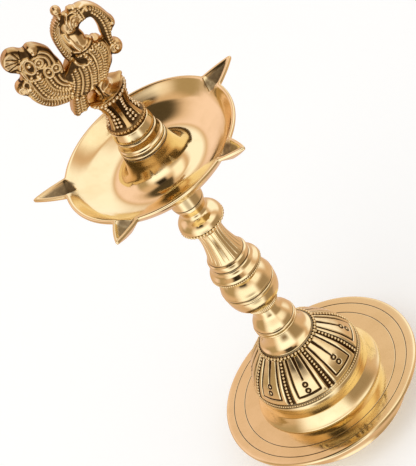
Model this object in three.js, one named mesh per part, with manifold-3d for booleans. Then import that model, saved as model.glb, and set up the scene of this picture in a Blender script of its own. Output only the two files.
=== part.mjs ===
// Standing oil lamp of cast and turned brass, 12 inches tall to its bird finial.
// Millimetres, +Z up. The origin is on the lamp's axis, on the plane it stands on.
// The bird looks along +X, and one of the five wick spouts points along +Y.

import * as THREE from "three";
import { mergeVertices } from "three/addons/utils/BufferGeometryUtils.js";
import Module from "manifold-3d";

const wasm = await Module();
wasm.setup();
const { lerp, degToRad } = THREE.MathUtils;

// Clearances
const seam = 0.3; // between pieces that seat on each other
const threadClearance = 0.3; // between a screw or rod and its bore

// Round pieces are cut into this many sides
const baseSides = 44;
const stemSides = 28;

// Base plate: a flat brim on a bowl-shaped foot
const brimRadius = 57.5;
const brimTop = 20.8;
const brimEdge = 3;
const plateThickness = 2.6;
const footRadius = 43;
const footWall = 2.6;
const outerLineRadius = 52.3;
const innerLineRadius = 45.8;
const lineDepth = 0.35;
const lineHalfWidth = 0.6;

// Closing disc, let into the foot
const discThickness = 1.6;
const discLedge = 1.2;

// Engraved dome on its flaring skirt
const skirtRadius = 36.8;
const skirtHeight = 8.1;
const skirtEdge = 0.4;
const domeRadius = 32.8;
const domeTopRadius = 16.2;
const domeHeight = 40.4;
const domeWall = 2.6;
const domeSpigotWall = 3;
const domeBossRadius = 9.5;
const domeBossLength = 11;

// Neck with its bulb
const neckHeight = 27;
const neckFootRadius = 15.4;
const neckConeRadius = 11.2;
const bulbRadius = 12.2;
const bulbTopRadius = 7.7;

// Vase
const vaseHeight = 28.6;
const vaseFootRadius = 9.2;
const vaseBellyRadius = 15.1;
const vaseTopRadius = 9;

// Fluted column with its flared ring
const columnHeight = 37.8;
const flareRadius = 14.6;
const bandRadius = 11.6;
const columnFootRadius = 10.6;
const columnWaistRadius = 7.3;
const columnTopRadius = 8.7;
const fluteCount = 24;
const fluteDepth = 0.35;
const fluteTurn = 9.6;

// Knop with the cup that carries the dish
const knopHeight = 17.9;
const knopRadius = 12.6;
const knopNeckRadius = 7.1;
const cupRadius = 9.1;

// Tie rod through the stem
const rodRadius = 3.5;
const rodEngagement = 8;
const rodTopBelowCup = 11.5;

// Washers
const washerThickness = 0.8;
const washerInset = 1.1;

// Dish
const dishRadius = 48.6;
const bowlRadius = 42.5;
const lipWidth = 1.6;
const lipThickness = 1.4;
const bowlDepth = 12.8;
const bowlFloorRadius = 25;
const dishWall = 3;
const dishRimAboveBoss = 40.7;
const bossHeight = 14;
const dishSpigotRadius = 5;
const dishSpigotLength = 8;
const pillarRadius = 13;
const pillarAboveRim = 4.5;

// Wick spouts
const spoutAngles = [-52.4, 18, 90, 162, 231];
const spoutLengths = [12.8, 15.6, 17.2, 17.4, 15];
const spoutHalfAngle = 9;
const spoutRise = 1.6;
const channelDepth = 5;
const spoutSteps = 12;

// Collar on the dish's pillar
const collarHeight = 15.6;
const collarRingRadius = 13.2;
const collarBandRadius = 11.6;
const collarLipRadius = 10.8;

// Capital under the bird
const capitalHeight = 23.3;
const capitalFootRadius = 10.5;
const capitalWaistRadius = 7.1;
const capitalTopRadius = 10.2;
const capitalRibs = 6;
const ribDepth = 0.9;
const ribTurn = 23;
const plateCornerReach = 1;
const plateTurn = 12;
const capitalSpigotRadius = 4;
const capitalSpigotLength = 23;

// Bird
const birdHeight = 55.4;
const bodyThickness = 13;
const wingThickness = 10;
const tailThickness = 6.4;
const crestThickness = 4.6;
const plumeThickness = 6;
const edgeRounding = 1.7;

// Heights of the seats, from the ground up
const domeSeat = brimTop + seam;
const neckSeat = domeSeat + domeHeight + seam;
const vaseSeat = neckSeat + neckHeight + seam;
const columnSeat = vaseSeat + vaseHeight + seam;
const knopSeat = columnSeat + columnHeight + seam;
const dishSeat = knopSeat + knopHeight + seam;
const rimTop = dishSeat + dishRimAboveBoss;
const pillarTop = rimTop + pillarAboveRim;
const collarSeat = pillarTop + seam;
const capitalSeat = collarSeat + collarHeight + seam;
const birdSeat = capitalSeat + capitalHeight;

// Bores that follow from what passes through them
const rodBore = rodRadius + threadClearance;
const dishSocket = dishSpigotRadius + threadClearance;
const capitalSocket = capitalSpigotRadius + threadClearance;

// Finishes
const finishes = {
  polishedBrass: { color: 0xd9ad5c, roughness: 0.12, metalness: 1 },
  engravedBrass: { color: 0xb98a45, roughness: 0.3, metalness: 1 },
  antiqueBrass: { color: 0x9c7a45, roughness: 0.38, metalness: 1 },
  plainBrass: { color: 0xb58c4a, roughness: 0.45, metalness: 1 },
  fibre: { color: 0x6b4a32, roughness: 0.9, metalness: 0 },
};

const lamp = new THREE.Group();

// Adds one named piece with a finish of its own.
function place(name, geometry, finish) {
  const mesh = new THREE.Mesh(geometry, new THREE.MeshStandardMaterial(finishes[finish]));
  mesh.name = name;
  lamp.add(mesh);
  return mesh;
}

// A body turned about the Z axis from a profile of [radius, height] points.
function turned(profile, sides) {
  const points = profile.map(([r, z]) => new THREE.Vector2(r, z));
  return new THREE.LatheGeometry(points, sides).rotateX(Math.PI / 2);
}

// A smooth run through chosen [radius, height] points.
function smooth(points, steps) {
  const curve = new THREE.SplineCurve(points.map(([r, z]) => new THREE.Vector2(r, z)));
  return curve.getPoints(steps).map((p) => [p.x, p.y]);
}

// Points of a run whose heights are shares of a piece's height above its seat.
function lifted(points, seat, height) {
  return points.map(([r, share]) => [r, seat + share * height]);
}

// Closes an outside run with a straight bore down the middle.
function bored(outside, bore) {
  const bottom = outside[0][1];
  const top = outside[outside.length - 1][1];
  return [[bore, bottom], ...outside, [bore, top], [bore, bottom]];
}

// A closed mesh as a solid that can be joined and cut.
function solid(geometry) {
  const bare = geometry.clone();
  bare.deleteAttribute("normal");
  bare.deleteAttribute("uv");
  const merged = mergeVertices(bare, 1e-4);
  return new wasm.Manifold(new wasm.Mesh({
    numProp: 3,
    vertProperties: new Float32Array(merged.attributes.position.array),
    triVerts: new Uint32Array(merged.index.array),
  }));
}

// A solid back as a geometry.
function surface(body) {
  const mesh = body.getMesh();
  const geometry = new THREE.BufferGeometry();
  geometry.setAttribute("position", new THREE.BufferAttribute(mesh.vertProperties, 3));
  geometry.setIndex(new THREE.BufferAttribute(mesh.triVerts, 1));
  return geometry;
}

// Moves each point of a geometry by a rule on its cylinder coordinates.
function reshaped(geometry, rule) {
  const position = geometry.attributes.position;
  for (let i = 0; i < position.count; i += 1) {
    const x = position.getX(i);
    const y = position.getY(i);
    const [r, angle, z] = rule(Math.hypot(x, y), Math.atan2(y, x), position.getZ(i), i);
    position.setXYZ(i, r * Math.cos(angle), r * Math.sin(angle), z);
  }
  return geometry;
}

// A washer let into the foot of the piece that stands over it.
function washer(bore, seat, outerRadius) {
  const bottom = seat - seam / 2;
  const outside = [[outerRadius, bottom], [outerRadius, bottom + washerThickness]];
  return turned(bored(outside, bore), stemSides);
}

// Radius and height of the pocket that a washer lies in.
const pocketHeight = washerThickness + seam / 2;

function basePlate() {
  const line = (radius) => [
    [radius + lineHalfWidth, brimTop],
    [radius, brimTop - lineDepth],
    [radius - lineHalfWidth, brimTop],
  ];
  const brimUnder = brimTop - brimEdge;
  const outside = smooth([
    [footRadius, 0],
    [lerp(footRadius, brimRadius, 0.06), brimUnder * 0.2],
    [lerp(footRadius, brimRadius, 0.28), brimUnder * 0.56],
    [lerp(footRadius, brimRadius, 0.62), brimUnder * 0.83],
    [brimRadius - 0.7, brimUnder],
  ], 6);
  const inside = smooth([
    [skirtRadius, brimTop - plateThickness],
    [lerp(footRadius, brimRadius, 0.05), brimTop - plateThickness],
    [lerp(footRadius, brimRadius, 0.1) - footWall * 0.4, brimUnder * 0.56],
    [footRadius - footWall * 0.95, brimUnder * 0.25],
    [footRadius - footWall - discLedge, discThickness + seam],
  ], 3);
  const hole = skirtRadius - domeSpigotWall;
  return turned([
    [footRadius - footWall, 0],
    ...outside,
    [brimRadius, brimUnder + brimEdge * 0.4],
    [brimRadius - 0.2, brimTop - brimEdge * 0.2],
    [brimRadius - 0.9, brimTop],
    ...line(outerLineRadius),
    ...line(innerLineRadius),
    [hole, brimTop],
    [hole, brimTop - plateThickness],
    ...inside,
    [footRadius - footWall, discThickness + seam],
    [footRadius - footWall, 0],
  ], baseSides);
}

function closingDisc() {
  const edge = footRadius - footWall - seam;
  return turned([[0, 0], [edge, 0], [edge, discThickness], [0, discThickness]], baseSides);
}

function engravedDome() {
  const spigotRadius = skirtRadius - domeSpigotWall - seam;
  const top = domeSeat + domeHeight;
  const skirtTop = domeSeat + skirtHeight;
  // Shares of the way in from the skirt's edge to the dome's foot, and of the skirt's height
  const skirt = lifted(
    [[0.3, 0.17], [0.62, 0.47], [0.87, 0.78], [0.99, 0.99]]
      .map(([inwards, share]) => [lerp(skirtRadius, domeRadius, inwards), share]),
    domeSeat,
    skirtHeight,
  );
  // Shares of the way in from the dome's foot to its top ring, and of its height
  const shell = [[0, 0.01], [0.006, 0.12], [0.04, 0.25], [0.14, 0.43], [0.32, 0.61],
    [0.555, 0.765], [0.785, 0.89], [1, 0.995]];
  const crown = smooth(lifted(
    shell.map(([inwards, share]) => [lerp(domeRadius, domeTopRadius, inwards), share]),
    skirtTop,
    top - skirtTop,
  ), 9);
  const underside = smooth(lifted(
    [[0.5, 0.66], [0.32, 0.55], [0.14, 0.39], [0.04, 0.22], [0, 0]]
      .map(([inwards, share]) => [lerp(domeRadius, domeTopRadius, inwards) - domeWall, share]),
    skirtTop,
    top - skirtTop,
  ), 3);
  const bossFoot = top - domeBossLength;
  return turned([
    [spigotRadius - domeWall, brimTop - plateThickness],
    [spigotRadius, brimTop - plateThickness],
    [spigotRadius, domeSeat],
    [skirtRadius, domeSeat],
    [skirtRadius, domeSeat + skirtEdge],
    ...skirt,
    ...crown,
    [domeTopRadius - 0.6, top],
    [rodBore, top],
    [rodBore, bossFoot],
    [domeBossRadius, bossFoot],
    [domeBossRadius, bossFoot + domeBossLength * 0.35],
    ...underside,
    [spigotRadius - domeWall, brimTop - plateThickness],
  ], baseSides);
}

function neck() {
  const foot = neckSeat;
  const outside = lifted([
    [neckFootRadius, 0],
    [neckFootRadius, 0.02],
    [lerp(neckFootRadius, neckConeRadius, 0.5), 0.09],
    [lerp(neckFootRadius, neckConeRadius, 0.85), 0.2],
    [neckConeRadius, 0.33],
    [neckConeRadius, 0.41],
    [bulbRadius, 0.45],
    [bulbRadius - 0.5, 0.485],
    [bulbRadius, 0.52],
    [lerp(bulbRadius, bulbTopRadius, 0.24), 0.64],
    [lerp(bulbRadius, bulbTopRadius, 0.62), 0.74],
    [lerp(bulbRadius, bulbTopRadius, 0.93), 0.82],
    [bulbTopRadius, 0.9],
    [bulbTopRadius, 1],
  ], neckSeat, neckHeight);
  const pocket = neckFootRadius - washerInset;
  return turned([
    [pocket, foot],
    ...outside,
    [rodBore, foot + neckHeight],
    [rodBore, foot + pocketHeight],
    [pocket, foot + pocketHeight],
    [pocket, foot],
  ], stemSides);
}

function vase() {
  const outside = lifted([
    [vaseFootRadius - 0.9, 0],
    [vaseFootRadius, 0.05],
    [vaseFootRadius, 0.12],
    [vaseFootRadius - 0.3, 0.145],
    [lerp(vaseFootRadius, vaseBellyRadius, 0.58), 0.22],
    [lerp(vaseFootRadius, vaseBellyRadius, 0.9), 0.36],
    [vaseBellyRadius - 0.1, 0.51],
    [vaseBellyRadius, 0.585],
    [vaseBellyRadius - 0.4, 0.625],
    [vaseBellyRadius, 0.67],
    [lerp(vaseBellyRadius, vaseTopRadius, 0.1), 0.74],
    [lerp(vaseBellyRadius, vaseTopRadius, 0.35), 0.85],
    [lerp(vaseBellyRadius, vaseTopRadius, 0.7), 0.95],
    [vaseTopRadius, 1],
  ], vaseSeat, vaseHeight);
  return turned(bored(outside, rodBore), stemSides);
}

function column() {
  const ring = lifted([
    [flareRadius - 3.6, 0],
    [flareRadius - 0.9, 0.02],
    [flareRadius - 0.3, 0.055],
    [flareRadius, 0.095],
    [lerp(flareRadius, bandRadius, 0.35), 0.13],
    [lerp(flareRadius, bandRadius, 0.85), 0.165],
    [bandRadius, 0.2],
    [bandRadius, 0.235],
    [bandRadius - 0.6, 0.25],
    [bandRadius - 0.1, 0.27],
    [bandRadius - 0.3, 0.345],
    [columnFootRadius - 0.4, 0.365],
    [columnFootRadius, 0.385],
  ], columnSeat, columnHeight);
  const shaft = lifted([
    [lerp(columnFootRadius, columnWaistRadius, 0.32), 0.44],
    [lerp(columnFootRadius, columnWaistRadius, 0.65), 0.52],
    [lerp(columnFootRadius, columnWaistRadius, 0.92), 0.62],
    [columnWaistRadius, 0.73],
    [lerp(columnWaistRadius, columnTopRadius, 0.15), 0.86],
    [lerp(columnWaistRadius, columnTopRadius, 0.7), 0.95],
    [columnTopRadius, 1],
  ], columnSeat, columnHeight);
  const fluteFoot = columnSeat + 0.4 * columnHeight;
  const fluteHead = columnSeat + 0.93 * columnHeight;
  const body = turned(bored([...ring, ...shaft], rodBore), fluteCount * 2);
  return reshaped(body, (r, angle, z) => {
    const fluted = z > fluteFoot && z < fluteHead && r > rodBore + 1;
    const hollow = 0.5 + 0.5 * Math.cos(angle * fluteCount);
    return [fluted ? r - fluteDepth * hollow : r, angle + degToRad(fluteTurn), z];
  });
}

function knop() {
  const outside = lifted([
    [columnTopRadius - 0.2, 0],
    [lerp(columnTopRadius, knopRadius, 0.6), 0.045],
    [knopRadius - 0.6, 0.1],
    [knopRadius, 0.19],
    [knopRadius - 0.3, 0.28],
    [lerp(knopRadius, knopNeckRadius, 0.4), 0.43],
    [lerp(knopRadius, knopNeckRadius, 0.83), 0.53],
    [knopNeckRadius, 0.6],
    [knopNeckRadius, 0.665],
    [lerp(knopNeckRadius, cupRadius, 0.6), 0.8],
    [lerp(knopNeckRadius, cupRadius, 0.9), 0.91],
    [cupRadius - 0.1, 1],
  ], knopSeat, knopHeight);
  const top = knopSeat + knopHeight;
  const socketFloor = top - dishSpigotLength - seam;
  return turned([
    [rodBore, knopSeat],
    ...outside,
    [dishSocket, top],
    [dishSocket, socketFloor],
    [rodBore, socketFloor],
    [rodBore, knopSeat],
  ], stemSides);
}

function tieRod() {
  const bottom = domeSeat + domeHeight - rodEngagement;
  const top = dishSeat - seam - rodTopBelowCup;
  const tip = rodRadius - 0.7;
  return turned([
    [0, bottom],
    [tip, bottom],
    [rodRadius, bottom + 0.7],
    [rodRadius, top - 0.7],
    [tip, top],
    [0, top],
  ], 24);
}

// Angle of a dish point from its step around the rim: steps crowd together at the spouts.
function rimAngle(step) {
  const k = Math.floor((step + spoutSteps / 2) / spoutSteps);
  const share = step / spoutSteps - k;
  const count = spoutAngles.length;
  const turnOf = (n) => spoutAngles[((n % count) + count) % count] + 360 * Math.floor(n / count);
  const reach = Math.abs(turnOf(k + Math.sign(share)) - turnOf(k)) / 2;
  const crowd = 0.35 * Math.abs(share) + 2.6 * Math.abs(share) ** 3;
  const offset = Math.sign(share) * 2 * reach * crowd;
  return { angle: degToRad(turnOf(k) + offset), offset, length: spoutLengths[k % count] };
}

function dish() {
  const boss = dishSeat;
  const floor = rimTop - bowlDepth;
  const under = floor - dishWall;
  const pocket = cupRadius - washerInset;
  // [radius, height, share of the spout's length, share of the channel's depth]
  const rows = [
    [0, boss - dishSpigotLength, 0, 0],
    [dishSpigotRadius, boss - dishSpigotLength, 0, 0],
    [dishSpigotRadius, boss + pocketHeight, 0, 0],
    [pocket, boss + pocketHeight, 0, 0],
    [pocket, boss, 0, 0],
    [cupRadius, boss, 0, 0],
    [cupRadius, boss + bossHeight, 0, 0],
    [cupRadius + 2, lerp(boss + bossHeight, under, 0.72), 0, 0],
    [pillarRadius + 2, under - 0.5, 0, 0],
    [lerp(pillarRadius, bowlFloorRadius, 0.75), under, 0, 0],
    [bowlFloorRadius + 4, lerp(under, rimTop, 0.06), 0, 0],
    [lerp(bowlFloorRadius, dishRadius, 0.52), lerp(under, rimTop, 0.24), 0, 0],
    [lerp(bowlFloorRadius, dishRadius, 0.76), lerp(under, rimTop, 0.48), 0, 0],
    [lerp(bowlFloorRadius, dishRadius, 0.92), lerp(under, rimTop, 0.7), 0.3, 0],
    [dishRadius - 0.5, rimTop - lipThickness * 1.7, 0.9, 0],
    [dishRadius, rimTop - lipThickness, 1, 0],
    [dishRadius - 0.2, rimTop - 0.3, 1, 0],
    [dishRadius - lipWidth * 0.5, rimTop, 0.96, 0],
    [dishRadius - lipWidth, rimTop - 0.2, 0.85, 0.12],
    [lerp(dishRadius, bowlRadius, 0.5), lerp(rimTop, floor, 0.17), 0.45, 0.42],
    [lerp(dishRadius, bowlRadius, 0.76), lerp(rimTop, floor, 0.32), 0.1, 0.12],
    [bowlRadius, lerp(rimTop, floor, 0.46), 0, 0],
    [lerp(bowlRadius, bowlFloorRadius, 0.3), lerp(rimTop, floor, 0.745), 0, 0],
    [lerp(bowlRadius, bowlFloorRadius, 0.62), lerp(rimTop, floor, 0.935), 0, 0],
    [bowlFloorRadius, floor, 0, 0],
    [lerp(bowlFloorRadius, pillarRadius, 0.38), floor + 1, 0, 0],
    [lerp(bowlFloorRadius, pillarRadius, 0.68), lerp(floor, pillarTop, 0.22), 0, 0],
    [lerp(bowlFloorRadius, pillarRadius, 0.86), lerp(floor, pillarTop, 0.47), 0, 0],
    [lerp(bowlFloorRadius, pillarRadius, 0.96), lerp(floor, pillarTop, 0.75), 0, 0],
    [pillarRadius, pillarTop, 0, 0],
    [capitalSocket, pillarTop, 0, 0],
    [capitalSocket, pillarTop + collarHeight - capitalSpigotLength - seam, 0, 0],
    [0, pillarTop + collarHeight - capitalSpigotLength - seam, 0, 0],
  ];
  const body = turned(rows.map(([r, z]) => [r, z]), spoutAngles.length * spoutSteps);
  return reshaped(body, (r, turn, z, index) => {
    const row = rows[index % rows.length];
    const step = Math.floor(index / rows.length) % (spoutAngles.length * spoutSteps);
    const { angle, offset, length } = rimAngle(step);
    const out = Math.max(0, 1 - Math.abs(offset) / spoutHalfAngle);
    const reach = length * out * row[2];
    const drop = channelDepth * row[3] * Math.min(1, 1.6 * out);
    return [r + reach, angle, z + spoutRise * out * row[2] - drop];
  });
}

function collar() {
  const outside = lifted([
    [collarRingRadius - 0.2, 0],
    [collarRingRadius, 0.03],
    [collarRingRadius - 0.2, 0.07],
    [collarRingRadius - 0.7, 0.1],
    [collarRingRadius - 0.1, 0.15],
    [collarRingRadius - 0.3, 0.21],
    [lerp(collarRingRadius, collarBandRadius, 0.7), 0.27],
    [collarBandRadius + 0.1, 0.35],
    [collarBandRadius, 0.54],
    [collarBandRadius - 0.8, 0.58],
    [collarBandRadius, 0.63],
    [collarBandRadius - 0.1, 0.74],
    [collarLipRadius, 0.93],
    [collarLipRadius, 0.97],
    [collarLipRadius - 0.4, 1],
  ], collarSeat, collarHeight);
  return turned(bored(outside, capitalSocket), stemSides);
}

// A rounded slab in the plane of the bird, cut to a smooth outline of [x, height] points.
function slab(outline, thickness, rounding, detail) {
  const scale = birdHeight / birdOutlineHeight;
  const knots = outline.map(([x, z]) => new THREE.Vector3(x * scale, z * scale, 0));
  const loop = new THREE.CatmullRomCurve3(knots, true).getPoints(outline.length * detail).slice(1);
  const shape = new THREE.Shape(loop.map((p) => new THREE.Vector2(p.x, p.y)));
  const geometry = new THREE.ExtrudeGeometry(shape, {
    depth: thickness - 2 * rounding,
    bevelThickness: rounding,
    bevelSize: rounding,
    bevelOffset: -rounding,
    bevelSegments: 2,
  });
  geometry.translate(0, 0, rounding - thickness / 2);
  geometry.rotateX(Math.PI / 2);
  return solid(geometry.translate(0, 0, birdSeat));
}

// A round lump of the bird at [x, height], with half-sizes along X, Y and Z and a tilt.
function lump([x, height], [a, b, c], tilt = 0) {
  const scale = birdHeight / birdOutlineHeight;
  const ball = new THREE.SphereGeometry(1, 12, 7).rotateX(Math.PI / 2);
  ball.scale(a * scale, b * scale, c * scale);
  ball.rotateY(degToRad(tilt));
  return solid(ball.translate(x * scale, 0, birdSeat + height * scale));
}

// The bird's outlines: [x, height above the capital's plate], as chosen on a bird this tall
const birdOutlineHeight = 55.4;
const wingOutline = [
  [2, 28], [-6, 26.3], [-10, 23], [-12.6, 21.6], [-12.4, 17], [-13.5, 12], [-15.5, 7.8],
  [-18.5, 2.2], [-20, -3], [-18, -5.6], [-14, -6], [-11.7, -3.4], [-10.3, 0.6], [-8.4, 5.3],
  [-6.2, 5.8], [0, 6], [5, 7.5], [10, 12.8], [13.2, 19], [13.8, 24], [12, 27.5],
];
const tailOutline = [
  [-11.5, 21.5], [-10, 24.3], [-9, 28], [-9.6, 33], [-9.8, 38], [-11.5, 41.6], [-14.4, 45.4],
  [-17.5, 47.1], [-20.4, 46.2], [-23, 49.2], [-27, 51], [-31, 49.2], [-33.2, 44.8],
  [-32, 40.4], [-29, 37.4], [-28.6, 34.8], [-30, 33], [-33, 32.4], [-35, 29.2], [-33.6, 25.8],
  [-31.8, 23.8], [-31.3, 20.5], [-29.4, 15.6], [-25.6, 11], [-20.5, 8.6], [-15, 7.4], [-11.5, 13],
];
const crestOutline = [
  [4.5, 49.5], [0.5, 49.4], [-3, 46.6], [-5.6, 42.8], [-6.6, 38], [-6.9, 32], [-6.6, 27],
  [-4, 24], [1, 25], [2, 33], [2, 42],
];
const plumeOutline = [
  [8, 50.4], [12, 48.6], [15.2, 47.8], [18.2, 45.8], [20.6, 42.3], [22, 38.4], [23, 33.6],
  [23.8, 31], [23.2, 28.2], [21.4, 26.7], [19.4, 26], [18.2, 23.4], [17.9, 21], [19.7, 19.1],
  [20.3, 16.6], [18.8, 13.8], [16.2, 12.6], [13.4, 13.8], [12.3, 16.6], [13.4, 20], [14, 24],
  [14.2, 28], [15.1, 31], [15.5, 35], [14.8, 39], [11, 39.8], [7.6, 39], [6, 43],
];

// The bird's rounded parts: place as above, half-sizes along X, Y and Z, and tilt in degrees
const roundParts = {
  breast: [[4, 17.6], [10, bodyThickness / 2, 10.4], 24],
  neck: [[3, 32], [5, bodyThickness * 0.34, 8.6], 6],
  neckBase: [[3.8, 28], [6.6, bodyThickness * 0.38, 4]],
  head: [[4.6, 42.6], [5.8, bodyThickness * 0.37, 6.6], 20],
  crownBall: [[3.2, 52.4], [2.8, 2.8, 3]],
  tailScroll: [[-27.6, 44.6], [5, tailThickness * 0.62, 5]],
  tailLobe: [[-17, 43.2], [3.4, tailThickness * 0.62, 3.4]],
  tailBall: [[-31.6, 29.2], [3.1, tailThickness * 0.6, 3.1]],
  plumeKnob: [[21.4, 29.6], [2.3, plumeThickness * 0.55, 2.8]],
  plumeBall: [[16.3, 16.6], [3.9, plumeThickness * 0.6, 3.9]],
  legs: [[-0.9, 4.6], [5.3, 4.8, 6.4]],
};

function bird() {
  const plates = [
    slab(wingOutline, wingThickness, edgeRounding * 1.2, 2),
    slab(tailOutline, tailThickness, edgeRounding, 2),
    slab(crestOutline, crestThickness, edgeRounding * 0.7, 2),
    slab(plumeOutline, plumeThickness, edgeRounding, 2),
  ];
  const lumps = Object.values(roundParts).map((part) => lump(...part));
  return [...plates, ...lumps].reduce((whole, part) => whole.add(part));
}

function capital() {
  const foot = capitalSeat;
  const pocket = collarLipRadius - washerInset;
  const outside = lifted([
    [capitalFootRadius - 0.5, 0],
    [capitalFootRadius, 0.05],
    [capitalFootRadius - 0.9, 0.14],
    [lerp(capitalFootRadius, capitalWaistRadius, 0.5), 0.27],
    [lerp(capitalFootRadius, capitalWaistRadius, 0.88), 0.37],
    [capitalWaistRadius, 0.47],
    [lerp(capitalWaistRadius, capitalTopRadius, 0.3), 0.62],
    [lerp(capitalWaistRadius, capitalTopRadius, 0.75), 0.78],
    [capitalTopRadius, 0.88],
    [capitalTopRadius, 1],
  ], foot, capitalHeight);
  const body = turned([
    [0, foot - capitalSpigotLength + seam],
    [capitalSpigotRadius, foot - capitalSpigotLength + seam],
    [capitalSpigotRadius, foot + pocketHeight],
    [pocket, foot + pocketHeight],
    [pocket, foot],
    ...outside,
    [capitalTopRadius * 0.8, birdSeat + 0.5],
    [capitalTopRadius * 0.5, birdSeat + 2.4],
    [0, birdSeat + 3],
  ], capitalRibs * 6);
  const ribFoot = foot + capitalHeight * 0.1;
  const ribHead = foot + capitalHeight * 0.8;
  return solid(reshaped(body, (r, angle, z) => {
    const ribs = Math.cos(capitalRibs * (angle - degToRad(ribTurn)));
    const corners = Math.cos(2 * (angle - degToRad(plateTurn)));
    const onRibs = z > ribFoot && z < ribHead && r > capitalSpigotRadius + 1;
    const onPlate = z > ribHead && z <= birdSeat && r > capitalTopRadius * 0.9;
    const shift = onRibs ? -ribDepth * (0.5 - 0.5 * ribs) : 0;
    return [r + shift + (onPlate ? plateCornerReach * Math.max(0, corners) ** 6 : 0), angle, z];
  }));
}

place("base_plate", basePlate(), "polishedBrass");
place("closing_disc", closingDisc(), "plainBrass");
place("engraved_dome", engravedDome(), "engravedBrass");
place("stem_washer", washer(rodBore, neckSeat, neckFootRadius - washerInset - seam), "fibre");
place("stem_neck", neck(), "polishedBrass");
place("stem_vase", vase(), "polishedBrass");
place("fluted_column", column(), "polishedBrass");
place("stem_knop", knop(), "polishedBrass");
place("tie_rod", tieRod(), "plainBrass");
place("dish_washer", washer(dishSocket, dishSeat, cupRadius - washerInset - seam), "fibre");
place("oil_dish", dish(), "polishedBrass");
place("pillar_collar", collar(), "polishedBrass");
place("finial_washer", washer(capitalSocket, capitalSeat, collarLipRadius - washerInset - seam), "fibre");
place("bird_finial", surface(capital().add(bird())), "antiqueBrass");

export default lamp;
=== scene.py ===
"""Looks for a standing brass oil lamp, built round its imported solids. Lengths in mm, meshes in metres."""

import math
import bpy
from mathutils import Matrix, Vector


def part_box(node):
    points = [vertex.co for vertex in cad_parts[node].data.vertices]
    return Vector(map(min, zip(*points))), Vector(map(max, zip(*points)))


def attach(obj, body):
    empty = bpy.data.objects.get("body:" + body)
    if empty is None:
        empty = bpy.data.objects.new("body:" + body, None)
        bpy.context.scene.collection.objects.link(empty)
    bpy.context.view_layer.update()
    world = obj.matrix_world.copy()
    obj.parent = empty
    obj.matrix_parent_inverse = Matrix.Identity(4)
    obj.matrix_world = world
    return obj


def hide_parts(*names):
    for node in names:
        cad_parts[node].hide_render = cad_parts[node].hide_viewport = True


bl_info = {
    "name": "Standing Oil Lamp",
    "version": (1, 0, 0),
    "blender": (4, 5, 0),
    "location": "View3D > Sidebar > Oil Lamp",
    "description": "Builds the turned, engraved and cast surfaces of a standing oil lamp",
    "category": "Add Mesh",
}

import bmesh
import bpy
import numpy as np
from bpy.props import FloatProperty, IntProperty, PointerProperty, StringProperty
from mathutils import Matrix, Vector

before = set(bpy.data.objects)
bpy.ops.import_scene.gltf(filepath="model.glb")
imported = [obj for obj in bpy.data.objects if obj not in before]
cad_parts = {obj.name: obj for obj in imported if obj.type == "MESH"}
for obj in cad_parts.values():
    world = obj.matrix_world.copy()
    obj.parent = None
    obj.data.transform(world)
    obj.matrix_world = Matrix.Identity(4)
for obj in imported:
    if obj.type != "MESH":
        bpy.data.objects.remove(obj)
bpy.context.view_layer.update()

MM = 0.001
TAU = 2 * math.pi


def top_of(node):
    """Highest point of a solid, in mm."""
    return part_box(node)[1].z / MM


# How far the dish's pillar stands above its rim, and the bird above the capital's plate
PILLAR_RISE = 4.5
BIRD_HEIGHT = 55.4
BRIM_TOP = top_of("base_plate")
DOME_TOP = top_of("engraved_dome")
RIM_TOP = top_of("oil_dish") - PILLAR_RISE
PLATE_TOP = top_of("bird_finial") - BIRD_HEIGHT
ROD_BORE = 3.8

# Numbers, lines and colours


def linear(hex_colour):
    """An sRGB hex colour as linear RGBA."""
    parts = [int(hex_colour[i : i + 2], 16) / 255 for i in (1, 3, 5)]
    return [c / 12.92 if c <= 0.04045 else ((c + 0.055) / 1.055) ** 2.4 for c in parts] + [1.0]


def ease(x, low, high):
    """Rises smoothly from 0 at low to 1 at high: three squares less two cubes of the share."""
    t = np.clip((np.asarray(x, float) - low) / (high - low), 0, 1)
    return t * t * (3 - 2 * t)


def between(x, start, full, fade, end):
    """Rises smoothly from 0 at start to 1 at full, and falls back from fade to 0 at end."""
    return ease(x, start, full) * (1 - ease(x, fade, end))


def stripe(distance, width, soft=0.2):
    """1 within half a width of a line and 0 beyond it, with an edge as wide as soft."""
    return 1 - ease(np.abs(distance), width / 2 - soft / 2, width / 2 + soft / 2)


def lower_of(a, b, blend):
    """The lower of two heights, rounded where they cross."""
    return (a + b - np.sqrt((a - b) ** 2 + blend**2)) / 2


def spline(points, count):
    """A smooth run of count points through the given ones: cubic pieces whose slope at each
    given point is that of the line between its neighbours."""
    p = np.asarray(points, float)
    padded = np.vstack([2 * p[0] - p[1], p, 2 * p[-1] - p[-2]])
    t = np.linspace(0, len(p) - 1, count)
    k = np.minimum(t.astype(int), len(p) - 2)
    u = (t - k)[:, None]
    a, b, c, d = (padded[k + i] for i in range(4))
    return b + u / 2 * (c - a + u * (2 * a - 5 * b + 4 * c - d + u * (3 * (b - c) + d - a)))


def run_of(points):
    """Length along a line up to each of its points."""
    return np.concatenate([[0], np.cumsum(np.linalg.norm(np.diff(points, axis=0), axis=1))])


def even(points, step):
    """The same line with points an even step apart, first and last kept."""
    p = np.asarray(points, float)
    run = run_of(p)
    at = np.linspace(0, run[-1], max(int(round(run[-1] / step)), 3) + 1)
    return np.stack([np.interp(at, run, p[:, i]) for i in range(p.shape[1])], axis=1)


def bell(values, reach, closed):
    """Bell-shaped running average over a line of values, reach in samples."""
    size = max(int(3 * reach), 1)
    weights = np.exp(-0.5 * (np.arange(-size, size + 1) / reach) ** 2)
    weights /= weights.sum()
    before, after = values[-size:], values[:size]
    if not closed:
        before = 2 * values[0] - values[size:0:-1]
        after = 2 * values[-1] - values[-2 : -size - 2 : -1]
    return np.convolve(np.concatenate([before, values, after]), weights, "valid")


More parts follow.
